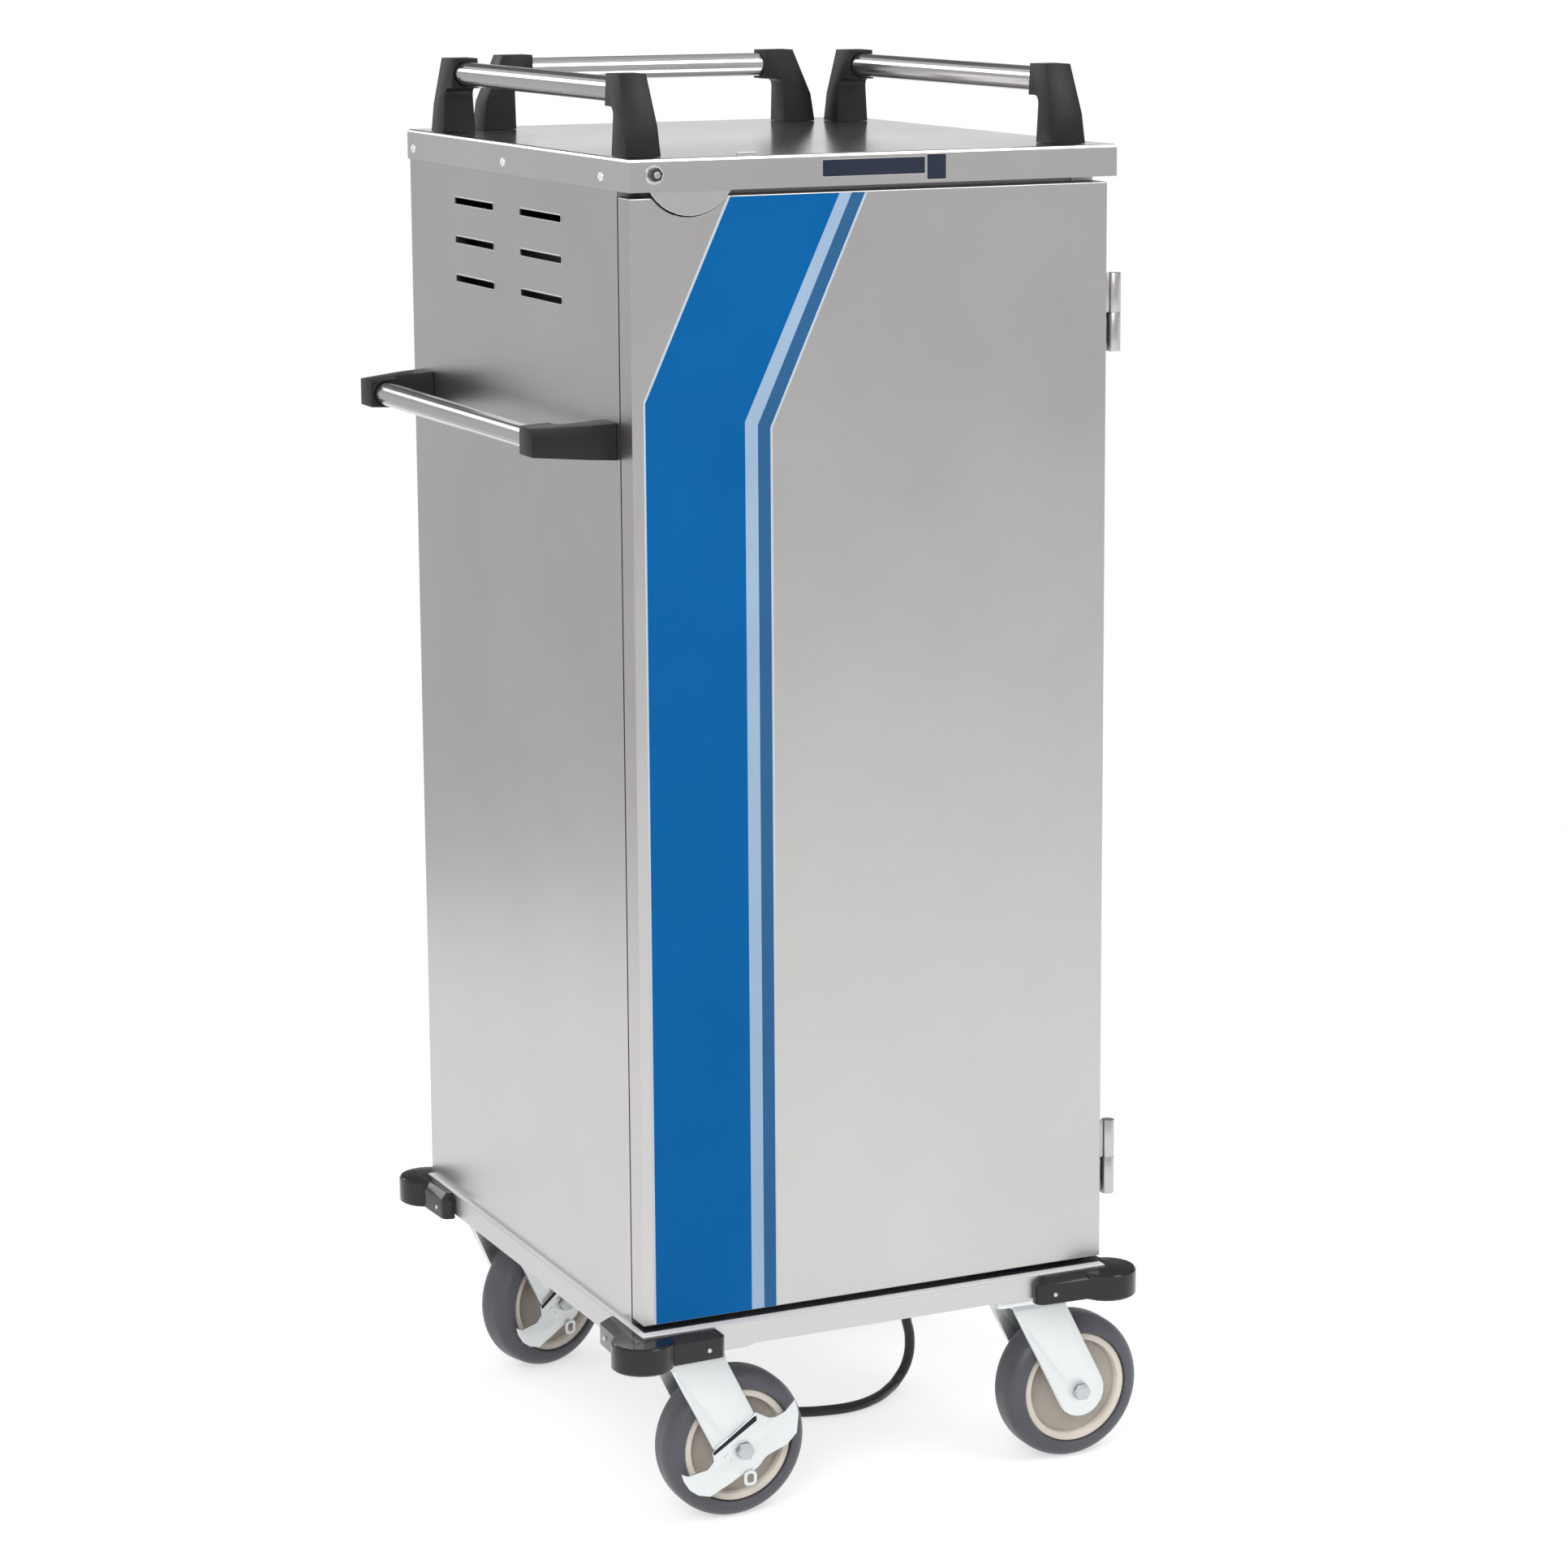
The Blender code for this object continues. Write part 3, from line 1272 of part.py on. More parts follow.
def build_latch(cart):
    """Lift latch on its bolt behind the front apron."""
    pivot = empty("latch_axis", (LATCH_PIVOT_X, LATCH_FRONT, LATCH_PIVOT_Z), cart)
    plate = prism(latch_outline(), 0.0, LATCH_SHEET)
    hole = bore_cutter(BOLT_RADIUS, -SHEET, LATCH_SHEET + SHEET)
    mesh = cut(finish_mesh("latch_plate", plate), [finish_mesh("hole", hole)])
    mesh.transform(frame_of((1, 0, 0), (0, 0, 1), (0, 1, 0), (0, 0, 0)))
    mesh.flip_normals()
    add_object("latch_plate", mesh, bright_steel("latch_steel"), parent=pivot)
    washer_back = -SEAT_GAP
    washer_front = washer_back - BOLT_WASHER_HEIGHT
    nut_front = LATCH_FRONT + LATCH_SHEET + LATCH_GAP
    rings = [
        (washer_front - BOLT_HEX_HEIGHT, BOLT_HEX_RADIUS * 0.8, True),
        (washer_front - BOLT_HEX_HEIGHT * 0.7, BOLT_HEX_RADIUS, True),
        (washer_front, BOLT_HEX_RADIUS, True),
        (washer_front, BOLT_WASHER_RADIUS, False),
        (washer_back, BOLT_WASHER_RADIUS, False),
        (washer_back, BOLT_RADIUS, False),
        (nut_front, BOLT_RADIUS, False),
        (nut_front, BOLT_HEX_RADIUS, True),
        (nut_front + BOLT_NUT_HEIGHT, BOLT_HEX_RADIUS, True),
    ]
    bolt = ring_stack(rings, BOLT_SIDES)
    bolt.transform(frame_of((1, 0, 0), (0, 0, 1), (0, 1, 0), (0, 0, 0)))
    place = (LATCH_PIVOT_X, 0, LATCH_PIVOT_Z)
    add_object("latch_bolt", finish_mesh("latch_bolt", bolt), zinc_plate("bolt_steel"), place, cart)


def gland_end_height():
    return heater_bottom() - SEAT_GAP - GLAND_BODY_HEIGHT - GLAND_RELIEF_LENGTH


def build_gland(cart):
    """Cable gland through the heater box: neck, locknut, body and a flexible sleeve."""
    floor = heater_bottom()
    inside = floor + SHEET + SEAT_GAP
    body_top = floor - SEAT_GAP
    body_low = body_top - GLAND_BODY_HEIGHT
    end = gland_end_height()
    rings = [
        (end, CORD_RADIUS + SHEET, False),
        (body_low - SHEET, CORD_RADIUS + 2 * SHEET, False),
        (body_low, GLAND_NECK_RADIUS + SHEET, False),
        (body_low, GLAND_HEX_RADIUS, True),
        (body_top, GLAND_HEX_RADIUS, True),
        (body_top, GLAND_NECK_RADIUS, False),
        (inside, GLAND_NECK_RADIUS, False),
        (inside, GLAND_HEX_RADIUS, True),
        (inside + GLAND_NUT_HEIGHT, GLAND_HEX_RADIUS, True),
        (inside + GLAND_NUT_HEIGHT, GLAND_NECK_RADIUS, False),
        (inside + GLAND_NECK_HEIGHT, GLAND_NECK_RADIUS, False),
    ]
    shape = ring_stack(rings, BOLT_SIDES)
    place = (*GLAND_PLACE, 0)
    add_object("cord_gland", finish_mesh("cord_gland", shape), black_plastic("gland_plastic"), place, cart)


def smooth_path(points, spacing):
    """Catmull-Rom curve through the points, read at about even spacing."""
    ends = [points[0] * 2 - points[1], *points, points[-1] * 2 - points[-2]]
    fine = []
    for index in range(1, len(ends) - 2):
        before, start, end, after = ends[index - 1 : index + 3]
        for step in range(20):
            t = step / 20
            fine.append(
                0.5
                * (
                    2 * start
                    + (end - before) * t
                    + (2 * before - 5 * start + 4 * end - after) * t**2
                    + (3 * start - before - 3 * end + after) * t**3
                )
            )
    fine.append(points[-1])
    lengths = [0.0]
    for start, end in zip(fine, fine[1:]):
        lengths.append(lengths[-1] + (end - start).length)
    count = max(2, round(lengths[-1] / spacing))
    result = []
    place = 0
    for step in range(count + 1):
        target = lengths[-1] * step / count
        while place < len(fine) - 2 and lengths[place + 1] < target:
            place += 1
        share = (target - lengths[place]) / (lengths[place + 1] - lengths[place])
        result.append(fine[place].lerp(fine[place + 1], share))
    return result


def cord_object(name, points, resolution, look, cart):
    """Round cord through the points, closed at both ends."""
    curve = bpy.data.curves.new(name, "CURVE")
    curve.dimensions = "3D"
    curve.bevel_depth = CORD_RADIUS
    curve.bevel_resolution = resolution
    curve.use_fill_caps = True
    line = curve.splines.new("POLY")
    line.points.add(len(points) - 1)
    for target, point in zip(line.points, points):
        target.co = (*point, 1.0)
    curve.materials.append(look)
    cord = bpy.data.objects.new(name, curve)
    cord.parent = cart
    bpy.context.collection.objects.link(cord)


def coil_outer_radius():
    pitch = 2 * CORD_RADIUS + COIL_LOOP_GAP
    return COIL_INNER_RADIUS + pitch * COIL_TURNS / 2


def coil_points():
    """One wound length: in along the floor layer, up, and out along the upper layer."""
    pitch = 2 * CORD_RADIUS + COIL_LOOP_GAP
    reversal = COIL_TURNS / 2
    steps = round(COIL_TURNS * COIL_POINTS_PER_LOOP)
    x, y = COIL_CENTRE
    outer = coil_outer_radius()
    points = [
        Vector((x - outer, y - COIL_LEAD_IN, CORD_FLOOR)),
        Vector((x - outer, y - COIL_LEAD_IN / 2, CORD_FLOOR)),
    ]
    for step in range(steps + 1):
        turn = COIL_TURNS * step / steps
        angle = math.pi - 2 * math.pi * turn
        radius = COIL_INNER_RADIUS + pitch * abs(turn - reversal)
        climb = min(1.0, max(0.0, (turn - reversal + 0.25) / 0.5))
        climb = climb * climb * (3 - 2 * climb)
        height = CORD_FLOOR + climb * pitch
        points.append(Vector((x + radius * math.cos(angle), y + radius * math.sin(angle), height)))
    top = points[-1]
    drop = Vector((0, 0, PLUG_AXIS_HEIGHT - top.z))
    along = Vector((1, 0, 0))
    points.append(top + along * COIL_LEAD_OUT / 2)
    points.append(top + along * COIL_LEAD_OUT)
    for share in (0.25, 0.5, 0.75, 1.0):
        ease = share * share * (3 - 2 * share)
        points.append(top + along * (COIL_LEAD_OUT + COIL_DROP_LENGTH * share) + drop * ease)
    points.append(points[-1] + along * 3 * CORD_RADIUS)
    return points


def least_gap(points):
    """Smallest clearance of the coil to itself, leaving out neighbours along it."""
    skip = COIL_POINTS_PER_LOOP // 2
    least = math.inf
    for index, point in enumerate(points):
        for other in range(index + skip, len(points)):
            least = min(least, (points[other] - point).length)
    return least - 2 * CORD_RADIUS


def cord_route():
    """Route of the free cord from the gland, down to the floor and back to the coil."""
    x, y = GLAND_PLACE
    outer = coil_outer_radius()
    end_x = COIL_CENTRE[0] - outer
    end_y = COIL_CENTRE[1] - COIL_LEAD_IN - SEAT_GAP
    start = gland_end_height() - SEAT_GAP
    points = [Vector((x, y, start)), Vector((x, y, start - 3 * CORD_RADIUS))]
    points += [Vector((x + right, y + back, height)) for right, back, height in CORD_FALL]
    points += [Vector((x + right, y + back, CORD_FLOOR)) for right, back in CORD_SWEEP]
    for before in (CORD_STRAIGHT, 3 * CORD_RADIUS, 0.0):
        points.append(Vector((end_x, end_y - before, CORD_FLOOR)))
    return points


def path_length(points):
    return sum((end - start).length for start, end in zip(points, points[1:]))


def build_cord(cart):
    """Power cord, its coil behind the cart and the plug beside the coil."""
    look = cord_black("cord_black")
    free = smooth_path(cord_route(), 4.4 * CORD_RADIUS)
    for point in free:
        point.z = max(point.z, CORD_RADIUS + SEAT_GAP / 2)
    cord_object("power_cord", free, 2, look, cart)
    coil = coil_points()
    cord_object("cord_coil", coil, 1, look, cart)
    print(f"least gap of the coil to itself: {least_gap(coil) * 1000:.2f} mm")
    print(f"cord length: {path_length(free) + path_length(coil):.2f} m")
    build_plug(coil[-1], cart)


def superellipse(half_width, half_height, count):
    """Rounded section of a moulded plug."""
    outline = []
    for step in range(count):
        angle = 2 * math.pi * (step + 0.5) / count
        cosine = math.cos(angle)
        sine = math.sin(angle)
        x = half_width * math.copysign(abs(cosine) ** 0.5, cosine)
        y = half_height * math.copysign(abs(sine) ** 0.5, sine)
        outline.append((x, y))
    return outline


def build_plug(cord_end, cart):
    """Moulded plug with a sleeve, two flat blades and a round ground pin."""
    half_height = PLUG_AXIS_HEIGHT - SEAT_GAP
    sleeve = CORD_RADIUS + SHEET
    face = PLUG_RELIEF_LENGTH + PLUG_LENGTH
    sections = [
        (0.0, sleeve, sleeve),
        (PLUG_RELIEF_LENGTH, sleeve * 1.25, sleeve * 1.25),
        (PLUG_RELIEF_LENGTH + PLUG_LENGTH * 0.15, PLUG_HALF_WIDTH * 0.8, half_height * 0.85),
        (PLUG_RELIEF_LENGTH + PLUG_LENGTH * 0.55, PLUG_HALF_WIDTH * 0.86, half_height * 0.9),
        (PLUG_RELIEF_LENGTH + PLUG_LENGTH * 0.7, PLUG_HALF_WIDTH, half_height),
        (face, PLUG_HALF_WIDTH, half_height),
    ]
    shape = bmesh.new()
    loops = [loop_at(shape, superellipse(wide, tall, 16), along) for along, wide, tall in sections]
    shape.faces.new(loops[0])
    shape.faces.new(loops[-1])
    for lower, upper in zip(loops, loops[1:]):
        bridge_loops(shape, lower, upper)
    tip = face + BLADE_LENGTH
    inside = face - SHEET
    spread = PLUG_HALF_WIDTH * 0.36
    drop = half_height * 0.22
    tall = half_height * 0.22
    tools = []
    for side in (-1, 1):
        blade = rectangle(
            side * spread - SHEET / 2, drop - tall, side * spread + SHEET / 2, drop + tall
        )
        tools.append(finish_mesh("blade", prism(blade, inside, tip)))
    pin = cylinder(SHEET * 1.6, inside, tip, 12)
    pin.transform(Matrix.Translation((0, -half_height * 0.5, 0)))
    tools.append(finish_mesh("pin", pin))
    mesh = joined(finish_mesh("plug", shape), tools)
    mesh.shade_smooth()
    mesh.set_sharp_from_angle(angle=math.radians(40))
    plug = add_object("plug", mesh, cord_black("plug_black"), parent=cart)
    start = cord_end + Vector((SEAT_GAP, 0, 0))
    plug.matrix_local = frame_of((0, 1, 0), (0, 0, 1), (1, 0, 0), start)


def build_cart():
    clear_scene()
    cart = empty("cart", (BODY_LEFT, BODY_FRONT, 0))
    build_base_frame(cart)
    build_side_panels(cart)
    build_back_panel(cart)
    build_floor_pan(cart)
    build_header_rail(cart)
    build_top_cap(cart)
    build_heater_box(cart)
    build_racks(cart)
    build_rails(cart)
    build_bumpers(cart)
    build_casters(cart)
    build_door(cart)
    build_latch(cart)
    build_gland(cart)
    build_cord(cart)


build_cart()
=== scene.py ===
"""Dresses the tray delivery cart for its picture.

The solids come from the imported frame. This script adds the finishes, the finer turned
and moulded pieces, the thin trim, the cord as one curve, the light and the camera.

Cart coordinates are those of the solids' source: x runs right from the cabinet's left
side, y runs back from the front of the top cover, z runs up from the floor.
"""

import math

import bmesh
import bpy
from bpy.props import FloatProperty, FloatVectorProperty, IntProperty, PointerProperty
from mathutils import Matrix, Vector


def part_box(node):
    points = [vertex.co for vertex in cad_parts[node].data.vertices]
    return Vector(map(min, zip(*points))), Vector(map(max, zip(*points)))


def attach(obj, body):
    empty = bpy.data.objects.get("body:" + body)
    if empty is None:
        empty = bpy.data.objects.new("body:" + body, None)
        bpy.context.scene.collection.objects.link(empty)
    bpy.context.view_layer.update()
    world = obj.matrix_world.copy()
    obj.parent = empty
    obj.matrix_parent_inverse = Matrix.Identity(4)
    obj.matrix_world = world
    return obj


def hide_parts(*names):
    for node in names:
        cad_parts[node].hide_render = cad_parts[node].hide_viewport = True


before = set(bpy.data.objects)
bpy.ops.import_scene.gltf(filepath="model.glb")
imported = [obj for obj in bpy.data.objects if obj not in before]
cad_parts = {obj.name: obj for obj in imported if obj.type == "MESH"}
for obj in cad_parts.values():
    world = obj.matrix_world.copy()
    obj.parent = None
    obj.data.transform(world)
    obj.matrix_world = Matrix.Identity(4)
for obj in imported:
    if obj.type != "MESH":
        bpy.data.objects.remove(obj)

bl_info = {
    "name": "Tray delivery cart",
    "version": (1, 0, 0),
    "blender": (4, 5, 0),
    "location": "3D View > Sidebar > Cart",
    "description": "Finishes, fine pieces, light and camera for the tray delivery cart",
    "category": "Object",
}

# Sizes that follow the solids
CAP_SIDE_OVERHANG = 0.002
SEAT_GAP = 0.0003
DOOR_FRONT = 0.005
DOOR_THICKNESS = 0.030
DOOR_SEAM = 0.002
LATCH_PIVOT = (0.0245, 1.4081)
LATCH_BELLY = (0.0395, 0.0092)
LATCH_BELLY_RADIUS = 0.0508
LATCH_NOTCH_GAP = 0.0012
SLOT_LENGTH = 0.114
SLOT_HEIGHT = 0.0068
SLOT_CORNER = 0.0015
SLOT_ROW_STEP = 0.0416
SLOT_COLUMN_STEP = 0.191
SLOT_TOP_DROP = 0.0697
SLOT_BACK_SHIFT = 0.004
WHEEL_RADIUS = 0.0803
TYRE_SHOULDER = 0.019
HUB_RIM_WIDTH = 0.044
HUB_RIM_DEPTH = 0.0085
CASTER_TRAIL = 0.0525
FORK_CROWN_BACK = 0.0285
FORK_EDGE_TOP = 0.181
FORK_END_RADIUS = 0.0282
FORK_HALF = 0.03655
BRAKE_FACE = 0.03985
BUMPER_ARM = 0.088
BUMPER_TIP_THICKNESS = 0.014
BUMPER_ROOT_THICKNESS = 0.018
BUMPER_END_ROUND = 0.009
REAR_LEFT_SWIVEL_DEG = 18.0

# Cord and coil; the cord's fall and sweep are steps to the right and back from its gland,
# and the fall's third number is the height above the floor
CORD_RADIUS = 0.00575
CORD_STUB = 3 * CORD_RADIUS
CORD_FLOOR = 0.006
CORD_FALL = (
    (0.000, 0.0, 0.080),
    (0.0045, 0.0, 0.056),
    (0.000, -0.002, 0.028),
    (-0.015, -0.007, 0.010),
)
CORD_SWEEP = (
    (-0.032, -0.020),
    (-0.060, -0.042),
    (-0.092, -0.054),
    (-0.124, -0.053),
    (-0.157, -0.043),
    (-0.192, -0.020),
    (-0.216, 0.018),
    (-0.226, 0.080),
    (-0.222, 0.160),
    (-0.202, 0.250),
    (-0.180, 0.340),
)
CORD_STRAIGHT = 0.060
COIL_CENTRE = (0.360, 0.781)
COIL_TURNS = 4.25
COIL_INNER_RADIUS = 0.052
COIL_LOOP_GAP = 0.0010
COIL_POINTS_PER_LOOP = 24
COIL_LEAD_IN = 0.022
COIL_LEAD_OUT = 0.050
COIL_DROP_LENGTH = 0.030
PLUG_AXIS_HEIGHT = 0.0150
PLUG_BLADE_LENGTH = 0.0172

# Camera in cart coordinates; its angles are yaw, pitch and roll
CAMERA_PLACE = (-1.6063, -3.8424, 1.6762)
CAMERA_ANGLES_DEG = (25.408, 10.485, 0.235)
CAMERA_SHIFT = (-0.0336, -0.0645)
CAMERA_REACH = 200.0
SENSOR_WIDTH = 36.0

# How finely the grain of each metal runs along x, y and z
GRAIN_UPRIGHT = (700, 700, 9)
GRAIN_LEVEL = (9, 700, 700)
GRAIN_EVEN = (300, 300, 300)
GRAIN_TUBE = (260, 260, 260)
GRAIN_PLATED = (160, 160, 160)

# Soft edges: how near points are joined first, and the angle from which an edge is softened
WELD_REACH = 0.00001
EDGE_ANGLE_DEG = 30

# Gaps that keep thin trim off the face under it
TRIM_GAP = 0.00005
FILM_GAP = 0.00002

# Grey levels that metal mirrors, by height: 0 is the horizon and 1 is straight up
ROOM_LEVELS = ((0.0, 0.61), (0.15, 0.49), (0.30, 0.80), (1.0, 0.80))
WALL_LEVELS = ((0.0, 1.0), (0.12, 0.95), (0.20, 0.10), (0.46, 0.14), (0.60, 0.50), (1.0, 0.60))
WALL_TOWARDS = (0.90, 0.43, 0.0)
WALL_EDGE = (0.25, 0.38)
ROOM_DIFFUSE = 0.60

# Floor and lamps; each lamp has a name, a place, a size and a power
FLOOR_CENTRE = (0.42, -0.88, 0.0)
FLOOR_RADIUS = 3.65
FLOOR_STEPS = 96
FLOOR_PALE = 0.70
FLOOR_GLOW = 0.58
LAMP_AIM = (0, 0, 0.7)
LAMPS = (
    ("lamp_front", (-2.6, -3.6, 3.4), 2.4, 80.0),
    ("lamp_right", (2.0, -2.9, 4.1), 2.2, 45.0),
    ("lamp_back", (-1.9, 4.4, 2.9), 1.2, 12.0),
)

# Sockets of a Mix node that mixes colours
MIX_FACTOR = 0
MIX_FIRST = 6
MIX_SECOND = 7
MIX_RESULT = 2

CAP_LOW, CAP_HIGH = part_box("top_cap")
DOOR_LOW, DOOR_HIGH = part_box("door_skin")
BODY_LEFT = CAP_LOW.x + CAP_SIDE_OVERHANG
BODY_FRONT = CAP_LOW.y
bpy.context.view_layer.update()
CORNERS = ("front_left", "front_right", "rear_left", "rear_right")


def at(x, y, z):
    """World place of a point in cart coordinates."""
    return Vector((x + BODY_LEFT, y + BODY_FRONT, z))


class CartSizes(bpy.types.PropertyGroup):
    """Sizes of the pieces that only the picture has."""

    film_thickness: FloatProperty(
        name="Film thickness",
        description="Thickness of the coloured film on the door",
        default=0.00025,
        unit="LENGTH",
    )
    rivet_radius: FloatProperty(
        name="Rivet radius",
        description="Radius of the rivet heads on the cover's side",
        default=0.0046,
        unit="LENGTH",
    )
    plate_thickness: FloatProperty(
        name="Plate thickness",
        description="Thickness of the two bare plates on the cover's front",
        default=0.0008,
        unit="LENGTH",
    )
    slot_rim: FloatProperty(
        name="Slot rim",
        description="Width of the pressed rim round each vent slot",
        default=0.0016,
        unit="LENGTH",
    )
    wheel_steps: IntProperty(
        name="Wheel steps",
        description="Faces round a wheel",
        default=96,
        min=24,
    )
    camera_lens: FloatProperty(
        name="Lens",
        description="Focal length on a 36 mm sensor",
        default=97.88,
        unit="CAMERA",
    )


class CartColours(bpy.types.PropertyGroup):
    """Colours of the finishes, as linear values."""

    steel: FloatVectorProperty(
        name="Sheet steel",
        description="Satin sheet",
        subtype="COLOR",
        default=(0.57, 0.562, 0.552),
    )
    tube: FloatVectorProperty(
        name="Tube steel",
        description="Polished tube",
        subtype="COLOR",
        default=(0.58, 0.57, 0.565),
    )
    zinc: FloatVectorProperty(
        name="Zinc",
        description="Bright zinc plating",
        subtype="COLOR",
        default=(0.77, 0.80, 0.805),
    )
    bracket: FloatVectorProperty(
        name="Bracket",
        description="Moulded brackets",
        subtype="COLOR",
        default=(0.014, 0.0145, 0.0175),
    )
    bumper: FloatVectorProperty(
        name="Bumper",
        description="Moulded bumpers",
        subtype="COLOR",
        default=(0.010, 0.009, 0.013),
    )
    tyre: FloatVectorProperty(
        name="Tyre",
        description="Tread and sidewall",
        subtype="COLOR",
        default=(0.108, 0.106, 0.126),
    )
    hub: FloatVectorProperty(
        name="Hub",
        description="Wheel core",
        subtype="COLOR",
        default=(0.915, 0.84, 0.745),
    )
    cord: FloatVectorProperty(
        name="Cord",
        description="Cord jacket",
        subtype="COLOR",
        default=(0.018, 0.018, 0.024),
    )
    stripe: FloatVectorProperty(
        name="Stripe",
        description="Wide stripe",
        subtype="COLOR",
        default=(0.001, 0.130, 0.395),
    )
    stripe_pale: FloatVectorProperty(
        name="Pale stripe",
        description="Narrow pale stripe",
        subtype="COLOR",
        default=(0.385, 0.525, 0.705),
    )
    stripe_deep: FloatVectorProperty(
        name="Deep stripe",
        description="Narrow deep stripe",
        subtype="COLOR",
        default=(0.034, 0.138, 0.310),
    )
    plate: FloatVectorProperty(
        name="Plate",
        description="Bare plates",
        subtype="COLOR",
        default=(0.016, 0.024, 0.046),
    )


def sizes():
    """The scene's sizes."""
    return bpy.context.scene.cart_sizes


def colours():
    """The scene's colours."""
    return bpy.context.scene.cart_colours


def new_shader(name):
    """A material with its Principled node and its node tree."""
    made = bpy.data.materials.new(name)
    made.use_nodes = True
    tree = made.node_tree
    return made, tree, tree.nodes["Principled BSDF"]


def noise(tree, scale, stretch=(1, 1, 1), detail=3.0):
    """Noise over the piece's own coordinates, drawn out by the stretch."""
    place = tree.nodes.new("ShaderNodeTexCoord")
    mapping = tree.nodes.new("ShaderNodeMapping")
    mapping.inputs["Scale"].default_value = stretch
    texture = tree.nodes.new("ShaderNodeTexNoise")
    texture.inputs["Scale"].default_value = scale
    texture.inputs["Detail"].default_value = detail
    tree.links.new(place.outputs["Object"], mapping.inputs["Vector"])
    tree.links.new(mapping.outputs["Vector"], texture.inputs["Vector"])
    return texture.outputs["Fac"]


def ranged(tree, value, low, high):
    """Noise values, which mostly lie between 0.3 and 0.7, spread over a range."""
    node = tree.nodes.new("ShaderNodeMapRange")
    node.inputs["From Min"].default_value = 0.3
    node.inputs["From Max"].default_value = 0.7
    node.inputs["To Min"].default_value = low
    node.inputs["To Max"].default_value = high
    tree.links.new(value, node.inputs["Value"])
    return node.outputs["Result"]


def mixed_colour(tree, factor, first, second):
    """Two colours mixed by a factor."""
    node = tree.nodes.new("ShaderNodeMix")
    node.data_type = "RGBA"
    node.inputs[MIX_FIRST].default_value = (*first, 1.0)
    node.inputs[MIX_SECOND].default_value = (*second, 1.0)
    tree.links.new(factor, node.inputs[MIX_FACTOR])
    return node.outputs[MIX_RESULT]


def bump(tree, shader, height, strength, distance):
    """Fine relief in the shader's normal."""
    node = tree.nodes.new("ShaderNodeBump")
    node.inputs["Strength"].default_value = strength
    node.inputs["Distance"].default_value = distance
    tree.links.new(height, node.inputs["Height"])
    tree.links.new(node.outputs["Normal"], shader.inputs["Normal"])


def toned(colour, factor):
    """A colour made lighter or darker."""
    return tuple(channel * factor for channel in colour)


def clouded(tree, shader, clouds, colour, dark, pale):
    """Base colour that drifts between a darker and a paler tone."""
    factor = ranged(tree, clouds, 0.0, 1.0)
    shade = mixed_colour(tree, factor, toned(colour, dark), toned(colour, pale))
    tree.links.new(shade, shader.inputs["Base Color"])


def metal(name, colour, roughness, grain, spread=0.05, depth=0.00006):
    """Rolled or brushed metal: fine grain, soft clouding and a little uneven polish."""
    made, tree, shader = new_shader(name)
    clouds = noise(tree, scale=5.0)
    fine = noise(tree, scale=1.0, stretch=grain, detail=2.0)
    shader.inputs["Metallic"].default_value = 1.0
    clouded(tree, shader, clouds, colour, dark=0.965, pale=1.03)
    half = spread / 2
    rough = tree.nodes.new("ShaderNodeMath")
    rough.operation = "ADD"
    tree.links.new(ranged(tree, clouds, roughness - half, roughness + half), rough.inputs[0])
    tree.links.new(ranged(tree, fine, -half, half), rough.inputs[1])
    tree.links.new(rough.outputs[0], shader.inputs["Roughness"])
    bump(tree, shader, fine, strength=0.25, distance=depth)
    return made


def moulded(name, colour, roughness, specular, grain_scale, depth, coat=0.0):
    """Moulded plastic or rubber with a fine skin and slight wear."""
    made, tree, shader = new_shader(name)
    clouds = noise(tree, scale=14.0)
    skin = noise(tree, scale=grain_scale, detail=2.0)
    clouded(tree, shader, clouds, colour, dark=0.90, pale=1.12)
    wear = 0.05
    tree.links.new(ranged(tree, clouds, roughness - wear, roughness + wear), shader.inputs["Roughness"])
    shader.inputs["Specular IOR Level"].default_value = specular
    shader.inputs["Coat Weight"].default_value = coat
    shader.inputs["Coat Roughness"].default_value = 0.07
    bump(tree, shader, skin, strength=0.30, distance=depth)
    return made


def film(name, colour):
    """Coloured vinyl film."""
    made, tree, shader = new_shader(name)
    clouds = noise(tree, scale=9.0)
    ripple = noise(tree, scale=60.0)
    clouded(tree, shader, clouds, colour, dark=0.96, pale=1.04)
    roughness = 0.42
    wear = 0.04
    tree.links.new(ranged(tree, ripple, roughness - wear, roughness + wear), shader.inputs["Roughness"])
    shader.inputs["Specular IOR Level"].default_value = 0.10
    bump(tree, shader, ripple, strength=0.10, distance=0.00008)
    return made


def new_piece(name, shape, look, body, smooth_deg=None):
    """Stand a mesh in the scene and let it ride on a body."""
    bmesh.ops.recalc_face_normals(shape, faces=shape.faces)
    mesh = bpy.data.meshes.new(name)
    shape.to_mesh(mesh)
    shape.free()
    if smooth_deg is not None:
        mesh.shade_smooth()
        mesh.set_sharp_from_angle(angle=math.radians(smooth_deg))
    mesh.materials.append(look)
    piece = bpy.data.objects.new(name, mesh)
    bpy.context.scene.collection.objects.link(piece)
    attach(piece, body)
    return piece


def soft_edges(piece, width, segments=2):
    """Rounded edges that catch the light."""
    weld = piece.modifiers.new("weld", "WELD")
    weld.merge_threshold = WELD_REACH
    change = piece.modifiers.new("edges", "BEVEL")
    change.width = width
    change.segments = segments
    change.limit_method = "ANGLE"
    change.angle_limit = math.radians(EDGE_ANGLE_DEG)
    change.harden_normals = False


